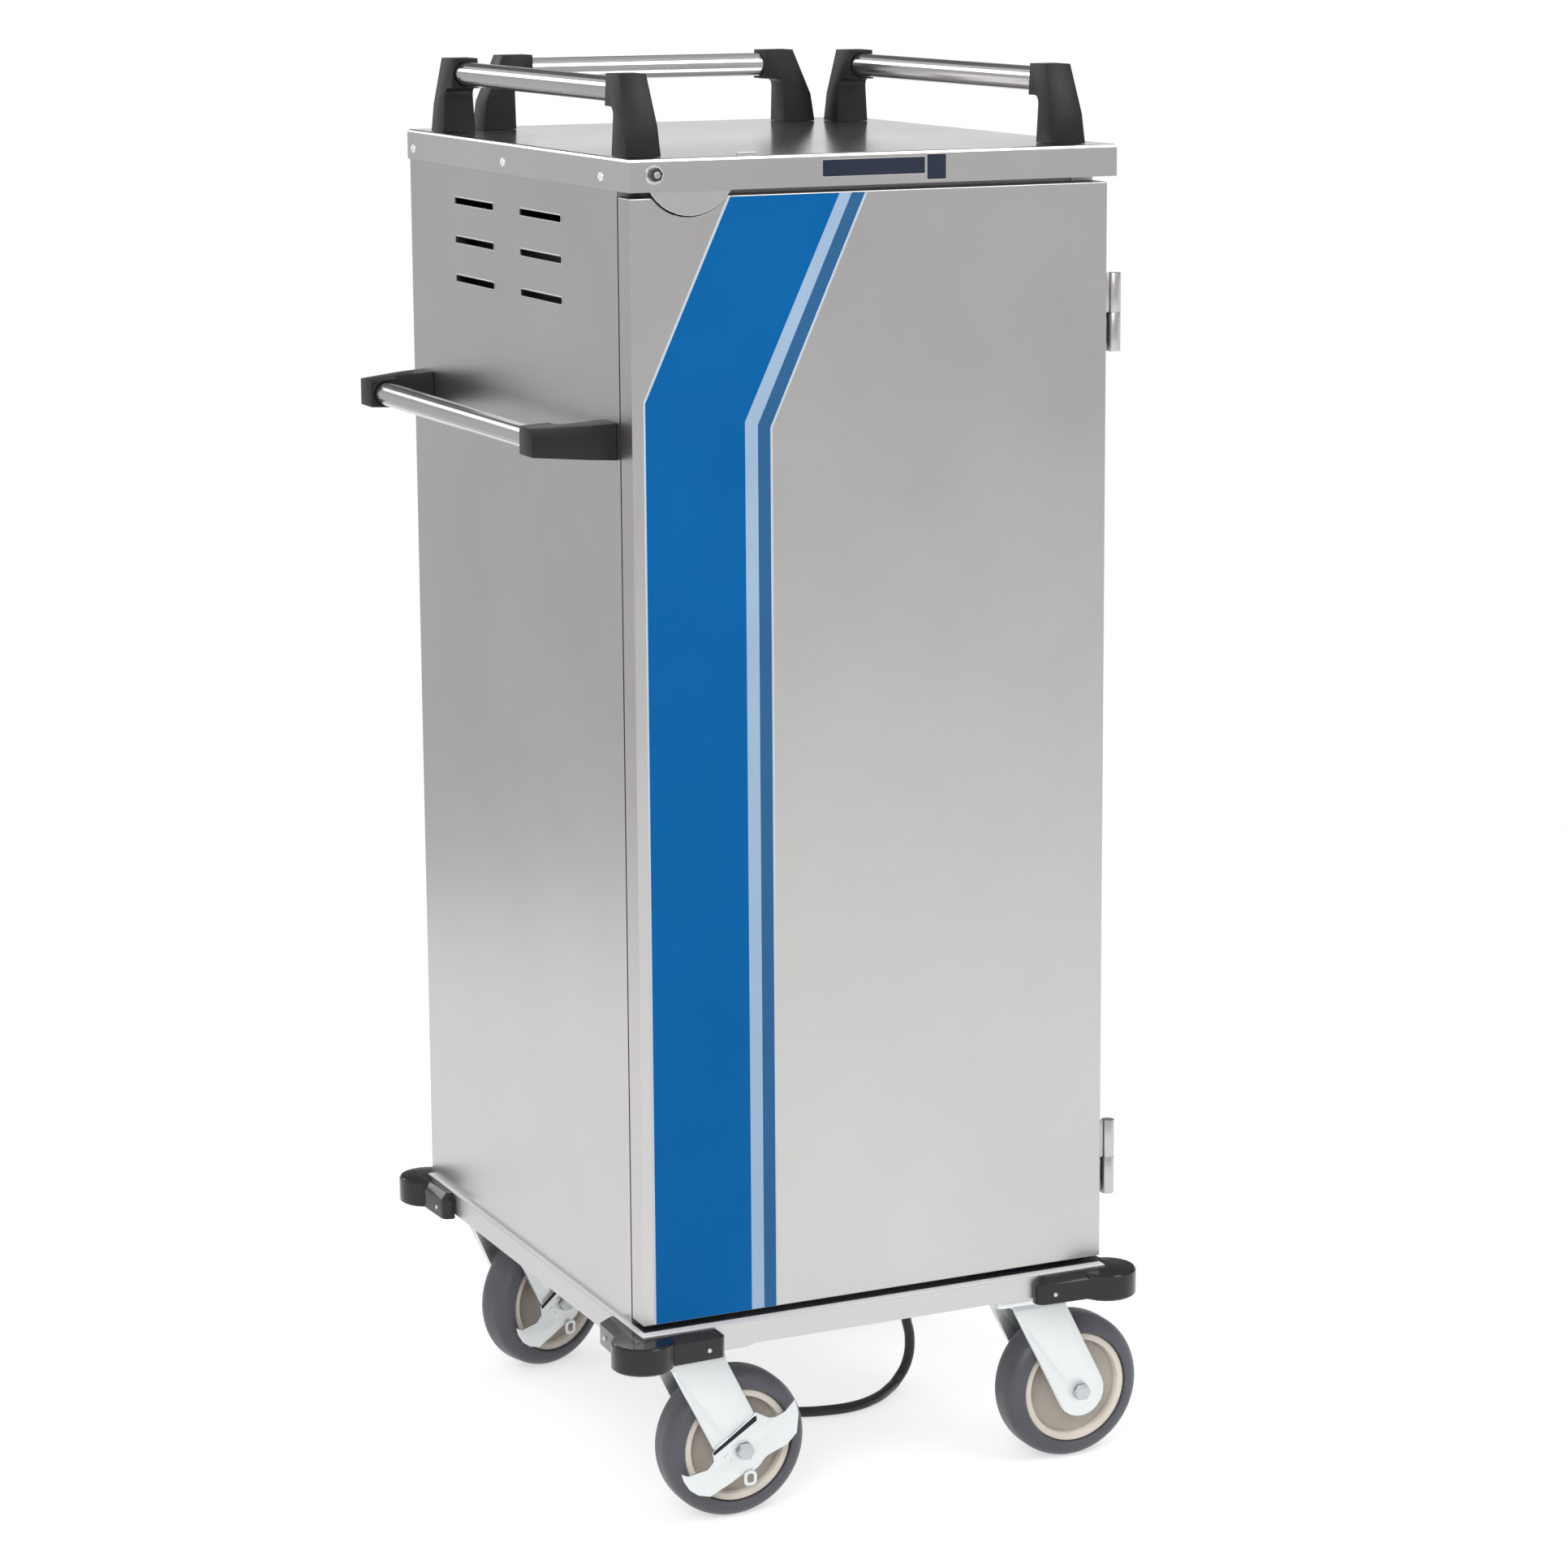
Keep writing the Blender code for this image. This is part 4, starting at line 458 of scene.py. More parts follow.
def dress(nodes, look, smooth_deg=None, edge=0.0, segments=2):
    """Give carried-over solids a material, smooth shading and soft edges."""
    for name in nodes:
        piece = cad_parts[name]
        piece.data.materials.clear()
        piece.data.materials.append(look)
        for polygon in piece.data.polygons:
            polygon.material_index = 0
        if smooth_deg is not None:
            piece.data.shade_smooth()
            piece.data.set_sharp_from_angle(angle=math.radians(smooth_deg))
        if edge > 0.0:
            soft_edges(piece, edge, segments)


def named(prefixes):
    """Carried-over nodes whose names start with one of the prefixes."""
    return [name for name in sorted(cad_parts) if name.startswith(tuple(prefixes))]


def loop_of(shape, points):
    """A loop of new vertices at the points."""
    return [shape.verts.new(point) for point in points]


def bridge(shape, lower, upper):
    """Faces between two loops of the same length."""
    count = len(lower)
    for index in range(count):
        after = (index + 1) % count
        shape.faces.new((lower[index], lower[after], upper[after], upper[index]))


def hoop(shape, loops):
    """Faces from each loop to the next, and from the last back to the first."""
    for lower, upper in zip(loops, loops[1:] + loops[:1]):
        bridge(shape, lower, upper)


def slab(outline, place, low, high, shape=None):
    """An outline drawn from low to high; place turns (u, v, height) into a world point."""
    shape = shape or bmesh.new()
    first = loop_of(shape, [place(u, v, low) for u, v in outline])
    last = loop_of(shape, [place(u, v, high) for u, v in outline])
    shape.faces.new(first)
    shape.faces.new(last)
    bridge(shape, first, last)
    return shape


def band(outer, inner, place, low, high):
    """The strip between two outlines, from low to high."""
    shape = bmesh.new()
    loops = []
    for outline, height in ((outer, low), (outer, high), (inner, high), (inner, low)):
        loops.append(loop_of(shape, [place(u, v, height) for u, v in outline]))
    hoop(shape, loops)
    return shape


def turned(profile, place, steps, closed=True):
    """A profile of radius and height spun about an axis; place gives world points."""
    shape = bmesh.new()
    rings = []
    for radius, height in profile:
        ring = []
        for step in range(steps):
            angle = 2 * math.pi * step / steps
            ring.append(place(radius * math.cos(angle), radius * math.sin(angle), height))
        rings.append(loop_of(shape, ring))
    if closed:
        hoop(shape, rings)
        return shape
    for lower, upper in zip(rings, rings[1:]):
        bridge(shape, lower, upper)
    shape.faces.new(rings[0])
    shape.faces.new(rings[-1])
    return shape


def mirrored(profile):
    """A half section and its mirror image across the middle plane."""
    return profile + [(radius, -height) for radius, height in reversed(profile)]


def arc(centre, radius, start_deg, end_deg, steps):
    """Points along an arc of a circle."""
    points = []
    for step in range(steps + 1):
        angle = math.radians(start_deg + (end_deg - start_deg) * step / steps)
        points.append((centre[0] + radius * math.cos(angle), centre[1] + radius * math.sin(angle)))
    return points


def rounded(left, low, right, high, radius, steps=5):
    """A rectangle's outline with round corners."""
    outline = []
    outline += arc((right - radius, low + radius), radius, -90, 0, steps)
    outline += arc((right - radius, high - radius), radius, 0, 90, steps)
    outline += arc((left + radius, high - radius), radius, 90, 180, steps)
    outline += arc((left + radius, low + radius), radius, 180, 270, steps)
    return outline


class CART_OT_camera(bpy.types.Operator):
    """Set up the camera at the picture's viewing angle"""

    bl_idname = "cart.camera"
    bl_label = "Camera"

    def execute(self, context):
        yaw, pitch, roll = (math.radians(angle) for angle in CAMERA_ANGLES_DEG)
        ahead = Vector(
            (math.sin(yaw) * math.cos(pitch), math.cos(yaw) * math.cos(pitch), -math.sin(pitch))
        )
        level = Vector((math.cos(yaw), -math.sin(yaw), 0))
        below = ahead.cross(level)
        right = level * math.cos(roll) + below * math.sin(roll)
        down = below * math.cos(roll) - level * math.sin(roll)
        data = bpy.data.cameras.new("camera")
        data.sensor_width = SENSOR_WIDTH
        data.lens = sizes().camera_lens
        data.shift_x = CAMERA_SHIFT[0]
        data.shift_y = CAMERA_SHIFT[1]
        data.clip_end = CAMERA_REACH
        camera = bpy.data.objects.new("camera", data)
        turn = Matrix((right, -down, -ahead)).transposed().to_4x4()
        camera.matrix_world = Matrix.Translation(at(*CAMERA_PLACE)) @ turn
        context.scene.collection.objects.link(camera)
        context.scene.camera = camera
        return {"FINISHED"}


def coil_pitch():
    """Distance between the middles of two neighbouring turns."""
    return 2 * CORD_RADIUS + COIL_LOOP_GAP


def coil_outer_radius():
    """Radius of the coil at the middle of its outermost turn."""
    return COIL_INNER_RADIUS + coil_pitch() * COIL_TURNS / 2


def eased(share):
    """A share from 0 to 1 that starts and ends gently."""
    return share * share * (3 - 2 * share)


def cord_route():
    """Free stretch: out of the gland, down to the floor and round to the coil."""
    low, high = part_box("cord_gland")
    x = (low.x + high.x) / 2 - BODY_LEFT
    y = (low.y + high.y) / 2 - BODY_FRONT
    start = low.z - SEAT_GAP
    end_x = COIL_CENTRE[0] - coil_outer_radius()
    end_y = COIL_CENTRE[1] - COIL_LEAD_IN - SEAT_GAP
    points = [Vector((x, y, start)), Vector((x, y, start - CORD_STUB))]
    points += [Vector((x + right, y + back, height)) for right, back, height in CORD_FALL]
    points += [Vector((x + right, y + back, CORD_FLOOR)) for right, back in CORD_SWEEP]
    for before in (CORD_STRAIGHT, CORD_STUB):
        points.append(Vector((end_x, end_y - before, CORD_FLOOR)))
    return points


def coil_points():
    """Wound stretch: in along the floor layer, up, and out along the upper layer."""
    reversal = COIL_TURNS / 2
    climb_turns = 0.5
    steps = round(COIL_TURNS * COIL_POINTS_PER_LOOP)
    x, y = COIL_CENTRE
    points = [Vector((x - coil_outer_radius(), y - COIL_LEAD_IN, CORD_FLOOR))]
    for step in range(steps + 1):
        turn = COIL_TURNS * step / steps
        angle = math.pi - 2 * math.pi * turn
        radius = COIL_INNER_RADIUS + coil_pitch() * abs(turn - reversal)
        climb = min(1.0, max(0.0, (turn - reversal + climb_turns / 2) / climb_turns))
        height = CORD_FLOOR + eased(climb) * coil_pitch()
        points.append(Vector((x + radius * math.cos(angle), y + radius * math.sin(angle), height)))
    top = points[-1]
    drop = Vector((0, 0, PLUG_AXIS_HEIGHT - top.z))
    along = Vector((1, 0, 0))
    points.append(top + along * COIL_LEAD_OUT)
    for share in (0.33, 0.67, 1.0):
        ahead = along * (COIL_LEAD_OUT + COIL_DROP_LENGTH * share)
        points.append(top + ahead + drop * eased(share))
    points.append(points[-1] + along * CORD_STUB)
    return points


class CART_OT_cord(bpy.types.Operator):
    """Lay the power cord from its gland to the plug, with its coil behind the cart"""

    bl_idname = "cart.cord"
    bl_label = "Power cord"

    def execute(self, context):
        points = [at(*point) for point in cord_route() + coil_points()]
        curve = bpy.data.curves.new("power_lead", "CURVE")
        curve.dimensions = "3D"
        curve.bevel_depth = CORD_RADIUS
        curve.bevel_resolution = 5
        curve.resolution_u = 6
        curve.use_fill_caps = True
        line = curve.splines.new("BEZIER")
        line.bezier_points.add(len(points) - 1)
        for target, point in zip(line.bezier_points, points):
            target.co = point
            target.handle_left_type = "AUTO"
            target.handle_right_type = "AUTO"
        look = moulded(
            "cord_jacket",
            colours().cord,
            roughness=0.36,
            specular=0.5,
            grain_scale=900.0,
            depth=0.00004,
        )
        curve.materials.append(look)
        lead = bpy.data.objects.new("power_lead", curve)
        context.scene.collection.objects.link(lead)
        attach(lead, "cabinet")
        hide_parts("power_cord", "cord_coil")
        dress(["plug"], plug_material(), smooth_deg=35, edge=0.0006)
        tie = coil_tie()
        return {"FINISHED"}


def plug_material():
    """Black moulded body with bright blades in front of its face."""
    made, tree, shader = new_shader("plug_finish")
    low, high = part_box("plug")
    face_x = high.x - PLUG_BLADE_LENGTH
    body = (0.018, 0.018, 0.020)
    brass = (0.72, 0.66, 0.50)
    place = tree.nodes.new("ShaderNodeTexCoord")
    split = tree.nodes.new("ShaderNodeSeparateXYZ")
    beyond = tree.nodes.new("ShaderNodeMath")
    beyond.operation = "GREATER_THAN"
    beyond.inputs[1].default_value = face_x
    tree.links.new(place.outputs["Object"], split.inputs[0])
    tree.links.new(split.outputs["X"], beyond.inputs[0])
    blade = mixed_colour(tree, beyond.outputs[0], body, brass)
    tree.links.new(blade, shader.inputs["Base Color"])
    tree.links.new(beyond.outputs[0], shader.inputs["Metallic"])
    skin = noise(tree, scale=700.0)
    tree.links.new(ranged(tree, skin, 0.30, 0.45), shader.inputs["Roughness"])
    bump(tree, shader, skin, strength=0.2, distance=0.00004)
    return made


def coil_tie():
    """Flat tie round the coil's bundle, with its lock."""
    thick = 0.0011
    half_width = 0.0024
    margin = 0.0004
    floor_gap = 0.00022
    lock_half_length = 0.0035
    lock_half_width = 0.0030
    lock_height = 0.0030
    angle = math.radians(-60)
    out = Vector((math.cos(angle), math.sin(angle), 0))
    side = Vector((-math.sin(angle), math.cos(angle), 0))
    centre = at(*COIL_CENTRE, 0)
    near = COIL_INNER_RADIUS - CORD_RADIUS - margin
    far = coil_outer_radius() + CORD_RADIUS + margin
    high = CORD_FLOOR + coil_pitch() + CORD_RADIUS + margin + thick
    look = moulded(
        "tie_nylon",
        (0.022, 0.022, 0.024),
        roughness=0.4,
        specular=0.5,
        grain_scale=600.0,
        depth=0.00003,
    )
    outer = rounded(near - thick, floor_gap, far + thick, high, 0.004)
    inner = rounded(near, floor_gap + thick / 4, far, high - thick, 0.0035)

    def across(u, v, h):
        return centre + out * u + side * h + Vector((0, 0, v))

    shape = band(outer, inner, across, -half_width, half_width)
    middle = centre + out * ((near + far) / 2) + Vector((0, 0, high - thick / 2))

    def upwards(u, v, h):
        return middle + out * u + side * v + Vector((0, 0, h))

    lock = rounded(
        -lock_half_length, -lock_half_width, lock_half_length, lock_half_width, 0.0008, steps=3
    )
    slab(lock, upwards, 0.0, lock_height, shape)
    return new_piece("coil_tie", shape, look, "cabinet", smooth_deg=40)


class CART_OT_steel(bpy.types.Operator):
    """Finish the sheet metal, the frame, the tubes and the latch plate"""

    bl_idname = "cart.steel"
    bl_label = "Steel finishes"

    def execute(self, context):
        self.finish_cabinet(colours().steel)
        self.finish_frame(colours().steel)
        self.finish_fittings(colours().steel)
        return {"FINISHED"}

    def finish_cabinet(self, steel):
        """Panels, door, cover and the sheets inside."""
        panel = metal("panel_steel", steel, 0.30, GRAIN_UPRIGHT, spread=0.02, depth=0.000006)
        dress(["left_side_panel", "right_side_panel", "back_panel"], panel)
        door = metal("door_steel", steel, 0.33, GRAIN_UPRIGHT, spread=0.02, depth=0.000006)
        dress(["door_skin", "door_inner_pan"], door, edge=0.0009)
        cap = metal("cover_steel", toned(steel, 1.13), 0.19, GRAIN_LEVEL, spread=0.02, depth=0.00001)
        dress(["top_cap"], cap, smooth_deg=50)
        inside = metal("inner_steel", toned(steel, 0.95), 0.42, GRAIN_UPRIGHT)
        dress(["header_rail", "floor_pan", "left_tray_rack", "right_tray_rack"], inside)

    def finish_frame(self, steel):
        """Base frame and heater box."""
        under = metal("frame_steel", toned(steel, 1.05), 0.36, GRAIN_LEVEL)
        dress(["base_frame"], under, edge=0.0008)
        # The upward faces get a pale copy of the steel: painted light on the frame's top.
        self.paint_top_faces_lit(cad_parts["base_frame"])
        dress(["heater_box"], under, smooth_deg=35)

    def paint_top_faces_lit(self, piece):
        """The frame's upper faces get a pale, non-metal copy of the steel: painted light where the top
        faces catch the lamps.
        """
        pale = metal("frame_top_painted_light", (0.90, 0.89, 0.89), 0.45, GRAIN_EVEN)
        shader = pale.node_tree.nodes["Principled BSDF"]
        shader.inputs["Metallic"].default_value = 0.0
        piece.data.materials.append(pale)
        for polygon in piece.data.polygons:
            if polygon.normal.z > 0.5:
                polygon.material_index = 1

    def finish_fittings(self, steel):
        """Hinges, tubes and latch plate."""
        hinge = metal("hinge_steel", toned(steel, 0.95), 0.30, GRAIN_EVEN)
        dress(named(["body_hinge", "door_hinge"]), hinge, smooth_deg=40, edge=0.0003)
        tube = metal("tube_steel", colours().tube, 0.18, GRAIN_TUBE, spread=0.03, depth=0.00002)
        bars = ["left_rail_bar", "right_rail_bar", "back_rail_bar", "push_handle_bar"]
        dress(named(bars), tube, smooth_deg=40)
        latch = metal("latch_steel", toned(steel, 1.15), 0.30, GRAIN_LEVEL)
        dress(["latch_plate"], latch, edge=0.0004)


class CART_OT_mouldings(bpy.types.Operator):
    """Finish the brackets, the bumpers and the cord gland"""

    bl_idname = "cart.mouldings"
    bl_label = "Moulded pieces"

    def execute(self, context):
        bracket = moulded(
            "bracket_nylon",
            colours().bracket,
            roughness=0.42,
            specular=0.3,
            grain_scale=1500.0,
            depth=0.00008,
        )
        brackets = [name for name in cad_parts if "_bracket_" in name]
        dress(sorted(brackets), bracket, smooth_deg=8, edge=0.0007)
        bumper = moulded(
            "bumper_vinyl",
            colours().bumper,
            roughness=0.30,
            specular=0.15,
            grain_scale=500.0,
            depth=0.00002,
            coat=0.6,
        )
        dress(named(["bumper_"]), bumper, smooth_deg=40, edge=0.0030, segments=3)
        dress(["cord_gland"], bracket, smooth_deg=30, edge=0.0004)
        return {"FINISHED"}


def about_axle(centre, swivel_deg):
    """Places points of (across, up, along the axle) about a point on a turned axle."""
    swivel = math.radians(swivel_deg)
    across = Vector((math.cos(swivel), math.sin(swivel), 0))
    along = Vector((-math.sin(swivel), math.cos(swivel), 0))
    return lambda u, v, h: centre + across * u + along * h + Vector((0, 0, v))


class CART_OT_wheels(bpy.types.Operator):
    """Turn the tyres and hubs finely"""

    bl_idname = "cart.wheels"
    bl_label = "Wheels"

    def execute(self, context):
        tyre_look = moulded(
            "tyre_rubber",
            colours().tyre,
            roughness=0.40,
            specular=0.45,
            grain_scale=260.0,
            depth=0.00008,
        )
        hub_look = self.nylon("hub_nylon", colours().hub)
        # The web takes a darker copy of the hub colour: painted shade in the wheel's recess.
        shaded_web_look = self.nylon("web_nylon_painted_shade", toned(colours().hub, 0.63))
        low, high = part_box("tyre_front_left")
        outer = (high.z - low.z) / 2
        half = (high.y - low.y) / 2
        low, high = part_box("hub_front_left")
        rim = (high.z - low.z) / 2
        half_boss = (high.y - low.y) / 2
        for corner in CORNERS:
            section = tyre_profile(rim, outer, half)
            tyre = self.turn(f"tread_{corner}", section, tyre_look, "grey_tyre", corner)
            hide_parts(f"tyre_{corner}")
            section = hub_ring_profile(rim)
            ring = self.turn(f"ring_{corner}", section, hub_look, "cream_hub", corner)
            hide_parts(f"hub_{corner}")
            section = hub_web_profile(rim, half_boss)
            self.turn(f"web_{corner}", section, shaded_web_look, "cream_hub", corner)
        return {"FINISHED"}

    def nylon(self, name, colour):
        """Moulded wheel core."""
        return moulded(name, colour, roughness=0.44, specular=0.4, grain_scale=300.0, depth=0.00006)

    def turn(self, name, profile, look, slot_name, corner):
        """A turned piece of a corner's wheel."""
        shape = turned(profile, wheel_place(corner), sizes().wheel_steps)
        return new_piece(name, shape, look, f"wheel_{corner}", smooth_deg=35)


def tyre_profile(rim, outer, half):
    """Section of the tyre: seat, lip and a wide round shoulder, and its mirror image."""
    inner = rim + SEAT_GAP
    lip = 0.0012
    near = [(inner, HUB_RIM_WIDTH / 2)]
    near += arc((inner + lip, half - lip), lip, 180, 90, steps=4)
    near += arc((outer - TYRE_SHOULDER, half - TYRE_SHOULDER), TYRE_SHOULDER, 84, 0, steps=16)
    return mirrored(near)


def hub_ring_profile(rim):
    """Section of the hub's outer ring with its rounded lips."""
    inside = rim - HUB_RIM_DEPTH
    half_rim = HUB_RIM_WIDTH / 2
    lip = 0.0012
    near = [
        (inside - lip / 2, 0.0155),
        (inside, half_rim - lip),
        (inside + 0.0010, half_rim),
        (rim - 0.0016, half_rim),
        (rim - 0.0004, half_rim - lip),
        (rim, half_rim - 2 * lip),
    ]
    return mirrored(near)


def hub_web_profile(rim, half_boss):
    """Section of the hub inside the ring: bore, boss and dished web."""
    bore = 0.0064
    boss = 0.0185
    edge = 0.0012
    inside = rim - HUB_RIM_DEPTH
    near = [
        (bore, half_boss),
        (boss - edge, half_boss),
        (boss, half_boss - edge),
        (boss + edge / 2, 0.0150),
        (boss + 0.0030, 0.0125),
        (boss + 0.0075, 0.0115),
        (inside - 0.0060, 0.0108),
        (inside - 0.0022, 0.0125),
        (inside - 0.0007, 0.0154),
    ]
    return mirrored(near)


def wheel_place(corner):
    """Places points of (across, up, along the axle) about a corner's wheel."""
    low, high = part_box(f"tyre_{corner}")
    swivel_deg = REAR_LEFT_SWIVEL_DEG if corner == "rear_left" else 0.0
    return about_axle((low + high) / 2, swivel_deg)


class CART_OT_casters(bpy.types.Operator):
    """Finish the forks, plates, axles and brake pedals"""

    bl_idname = "cart.casters"
    bl_label = "Casters"

    def execute(self, context):
        zinc = metal("caster_zinc", colours().zinc, 0.40, GRAIN_PLATED, spread=0.08)
        dress(named(["caster_fork"]), zinc, smooth_deg=32, edge=0.0010)
        dress(named(["caster_plate", "brake_pedal"]), zinc, smooth_deg=30, edge=0.0006)
        bolt = metal("axle_zinc", toned(colours().zinc, 0.70), 0.32, GRAIN_PLATED, spread=0.08)
        dress(named(["axle"]), bolt, smooth_deg=30, edge=0.0004)
        for corner in CORNERS:
            self.add_fork_lips(corner, zinc)
        for corner in ("front_left", "rear_left"):
            self.add_pedal_shadow_line(corner)
            self.add_pedal_bosses(corner, zinc)
            self.add_pedal_eye(corner, zinc)
        return {"FINISHED"}

    def add_fork_lips(self, corner, look):
        """Raised lips along the leading edge of the fork's two legs, down to the axle."""
        inset = 0.0012
        width = 0.0026
        height = 0.0011
        top_drop = 0.004
        end_deg = 215
        edge_top = Vector((-CASTER_TRAIL - FORK_CROWN_BACK, FORK_EDGE_TOP - WHEEL_RADIUS))
        lean = math.acos(FORK_END_RADIUS / edge_top.length)
        meet_deg = math.degrees(math.atan2(edge_top.y, edge_top.x) + lean)
        meet = Vector((math.cos(math.radians(meet_deg)), math.sin(math.radians(meet_deg))))
        start = edge_top - meet * inset - Vector((0, top_drop))
        outer = FORK_END_RADIUS - inset
        outline = [tuple(start)]
        outline += arc((0, 0), outer, meet_deg, end_deg, steps=4)
        outline += arc((0, 0), outer - width, end_deg, meet_deg, steps=4)
        outline += [tuple(start - meet * width)]
        for side, sign in (("front", -1), ("back", 1)):
            low = sign * (FORK_HALF + TRIM_GAP)
            shape = slab(outline, wheel_place(corner), low, low + sign * height)
            lip = new_piece(f"fork_lip_{side}_{corner}", shape, look, f"swivel_{corner}")
            soft_edges(lip, 0.0004)

    def add_pedal_shadow_line(self, corner):
        """Dark strip painted as shadow along the pedal's folded upper edge, where it meets the fork."""
        dark = moulded(
            "pedal_painted_shadow",
            (0.012, 0.013, 0.016),
            roughness=0.5,
            specular=0.3,
            grain_scale=500.0,
            depth=0.00003,
        )
        outline = [
            (-0.0363, 0.0032),
            (0.0112, 0.0356),
            (0.0138, 0.0350),
            (0.0140, 0.0305),
            (-0.0345, 0.0000),
        ]
        proud = 0.0004
        shape = slab(outline, wheel_place(corner), -BRAKE_FACE - proud, -BRAKE_FACE - TRIM_GAP)
        new_piece(f"pedal_painted_shadow_{corner}", shape, dark, f"brake_{corner}")

    def add_pedal_bosses(self, corner, look):
        """Three bosses stamped in the pedal; each has its place and radius."""
        place = wheel_place(corner)
        bosses = (
            (-0.0200, -0.0040, 0.0030),
            (-0.0140, -0.0100, 0.0024),
            (-0.0115, 0.0055, 0.0026),
        )
        for index, (x, z, radius) in enumerate(bosses):
            profile = [
                (radius, 0.0),
                (radius * 0.9, -0.0007),
                (radius * 0.5, -0.0010),
                (radius * 0.1, -0.0006),
            ]

            def on_pedal(u, v, h, x=x, z=z):
                return place(x + u, z + v, -BRAKE_FACE - TRIM_GAP + h)

            shape = turned(profile, on_pedal, steps=20, closed=False)
            name = f"pedal_boss_{index + 1}_{corner}"
            new_piece(name, shape, look, f"brake_{corner}", smooth_deg=50)

    def add_pedal_eye(self, corner, look):
        """Wire eye under the pedal."""
        outer = rounded(-0.0018, -0.0388, 0.0130, -0.0225, 0.0052, steps=6)
        inner = rounded(0.0020, -0.0352, 0.0092, -0.0260, 0.0026, steps=6)
        low = -BRAKE_FACE - 0.0002
        wire = 0.0024
        shape = band(outer, inner, wheel_place(corner), low, low - wire)
        eye = new_piece(f"pedal_eye_{corner}", shape, look, f"brake_{corner}")
        soft_edges(eye, 0.0008)


def stripe_edges():
    """Each stripe edge: its place low on the door, where it bends, and its place at the top."""
    return [
        (0.0118, 1.1856, 0.1043),
        (0.0139, 1.1841, 0.1072),
        (0.1213, 1.1601, 0.2266),
        (0.1353, 1.1561, 0.2402),
        (0.1490, 1.1530, 0.2549),
        (0.1514, 1.1524, 0.2575),
    ]


class CART_OT_stripes(bpy.types.Operator):
    """Lay the coloured film stripes on the door"""

    bl_idname = "cart.stripes"
    bl_label = "Door stripes"

    def execute(self, context):
        shades = colours()
        edge_look = film("film_edge", (0.60, 0.68, 0.76))
        looks = [
            ("stripe_left_line", edge_look),
            ("stripe_wide", film("film_wide", shades.stripe)),
            ("stripe_pale", film("film_pale", shades.stripe_pale)),
            ("stripe_deep", film("film_deep", shades.stripe_deep)),
            ("stripe_right_line", edge_look),
        ]
        low_margin = 0.0006
        top_margin = 0.0012
        low = DOOR_LOW.z + low_margin
        high = DOOR_HIGH.z - top_margin
        edges = stripe_edges()
        thick = sizes().film_thickness
        for (name, look), left, right in zip(looks, edges, edges[1:]):
            outline = [
                (left[0], low),
                (right[0], low),
                (right[0], right[1]),
                (right[2], high),
                (left[2], high),
                (left[0], left[1]),
            ]
            shape = slab(outline, lambda u, v, h: at(u, DOOR_FRONT - h, v), FILM_GAP, thick)
            new_piece(name, shape, look, "door")
        return {"FINISHED"}


class CART_OT_plates(bpy.types.Operator):
    """Fix the two bare plates on the cover's front"""

    bl_idname = "cart.plates"
    bl_label = "Bare plates"

    def execute(self, context):
        look = moulded(
            "plate_finish",
            colours().plate,
            roughness=0.30,
            specular=0.4,
            grain_scale=700.0,
            depth=0.00002,
        )
        border_look = metal("plate_border", (0.80, 0.80, 0.80), 0.35, GRAIN_EVEN)
        border = 0.0007
        thick = sizes().plate_thickness
        step = thick / 2
        areas = {
            "bare_plate_long": (0.2052, 1.3999, 0.3196, 1.4176),
            "bare_plate_square": (0.3210, 1.3937, 0.3433, 1.4199),
        }
        for name, (left, low, right, high) in areas.items():
            inner = rounded(left + border, low + border, right - border, high - border, 0.0006, steps=3)
            outer = rounded(left, low, right, high, 0.0010, steps=3)
            shape = slab(inner, self.on_cover, step + TRIM_GAP, thick)
            new_piece(name, shape, look, "cabinet")
            shape = slab(outer, self.on_cover, TRIM_GAP, step)
            new_piece(f"{name}_border", shape, border_look, "cabinet")
        return {"FINISHED"}

    def on_cover(self, u, v, h):
        """Place on the cover's front."""
        return at(u, -h, v)


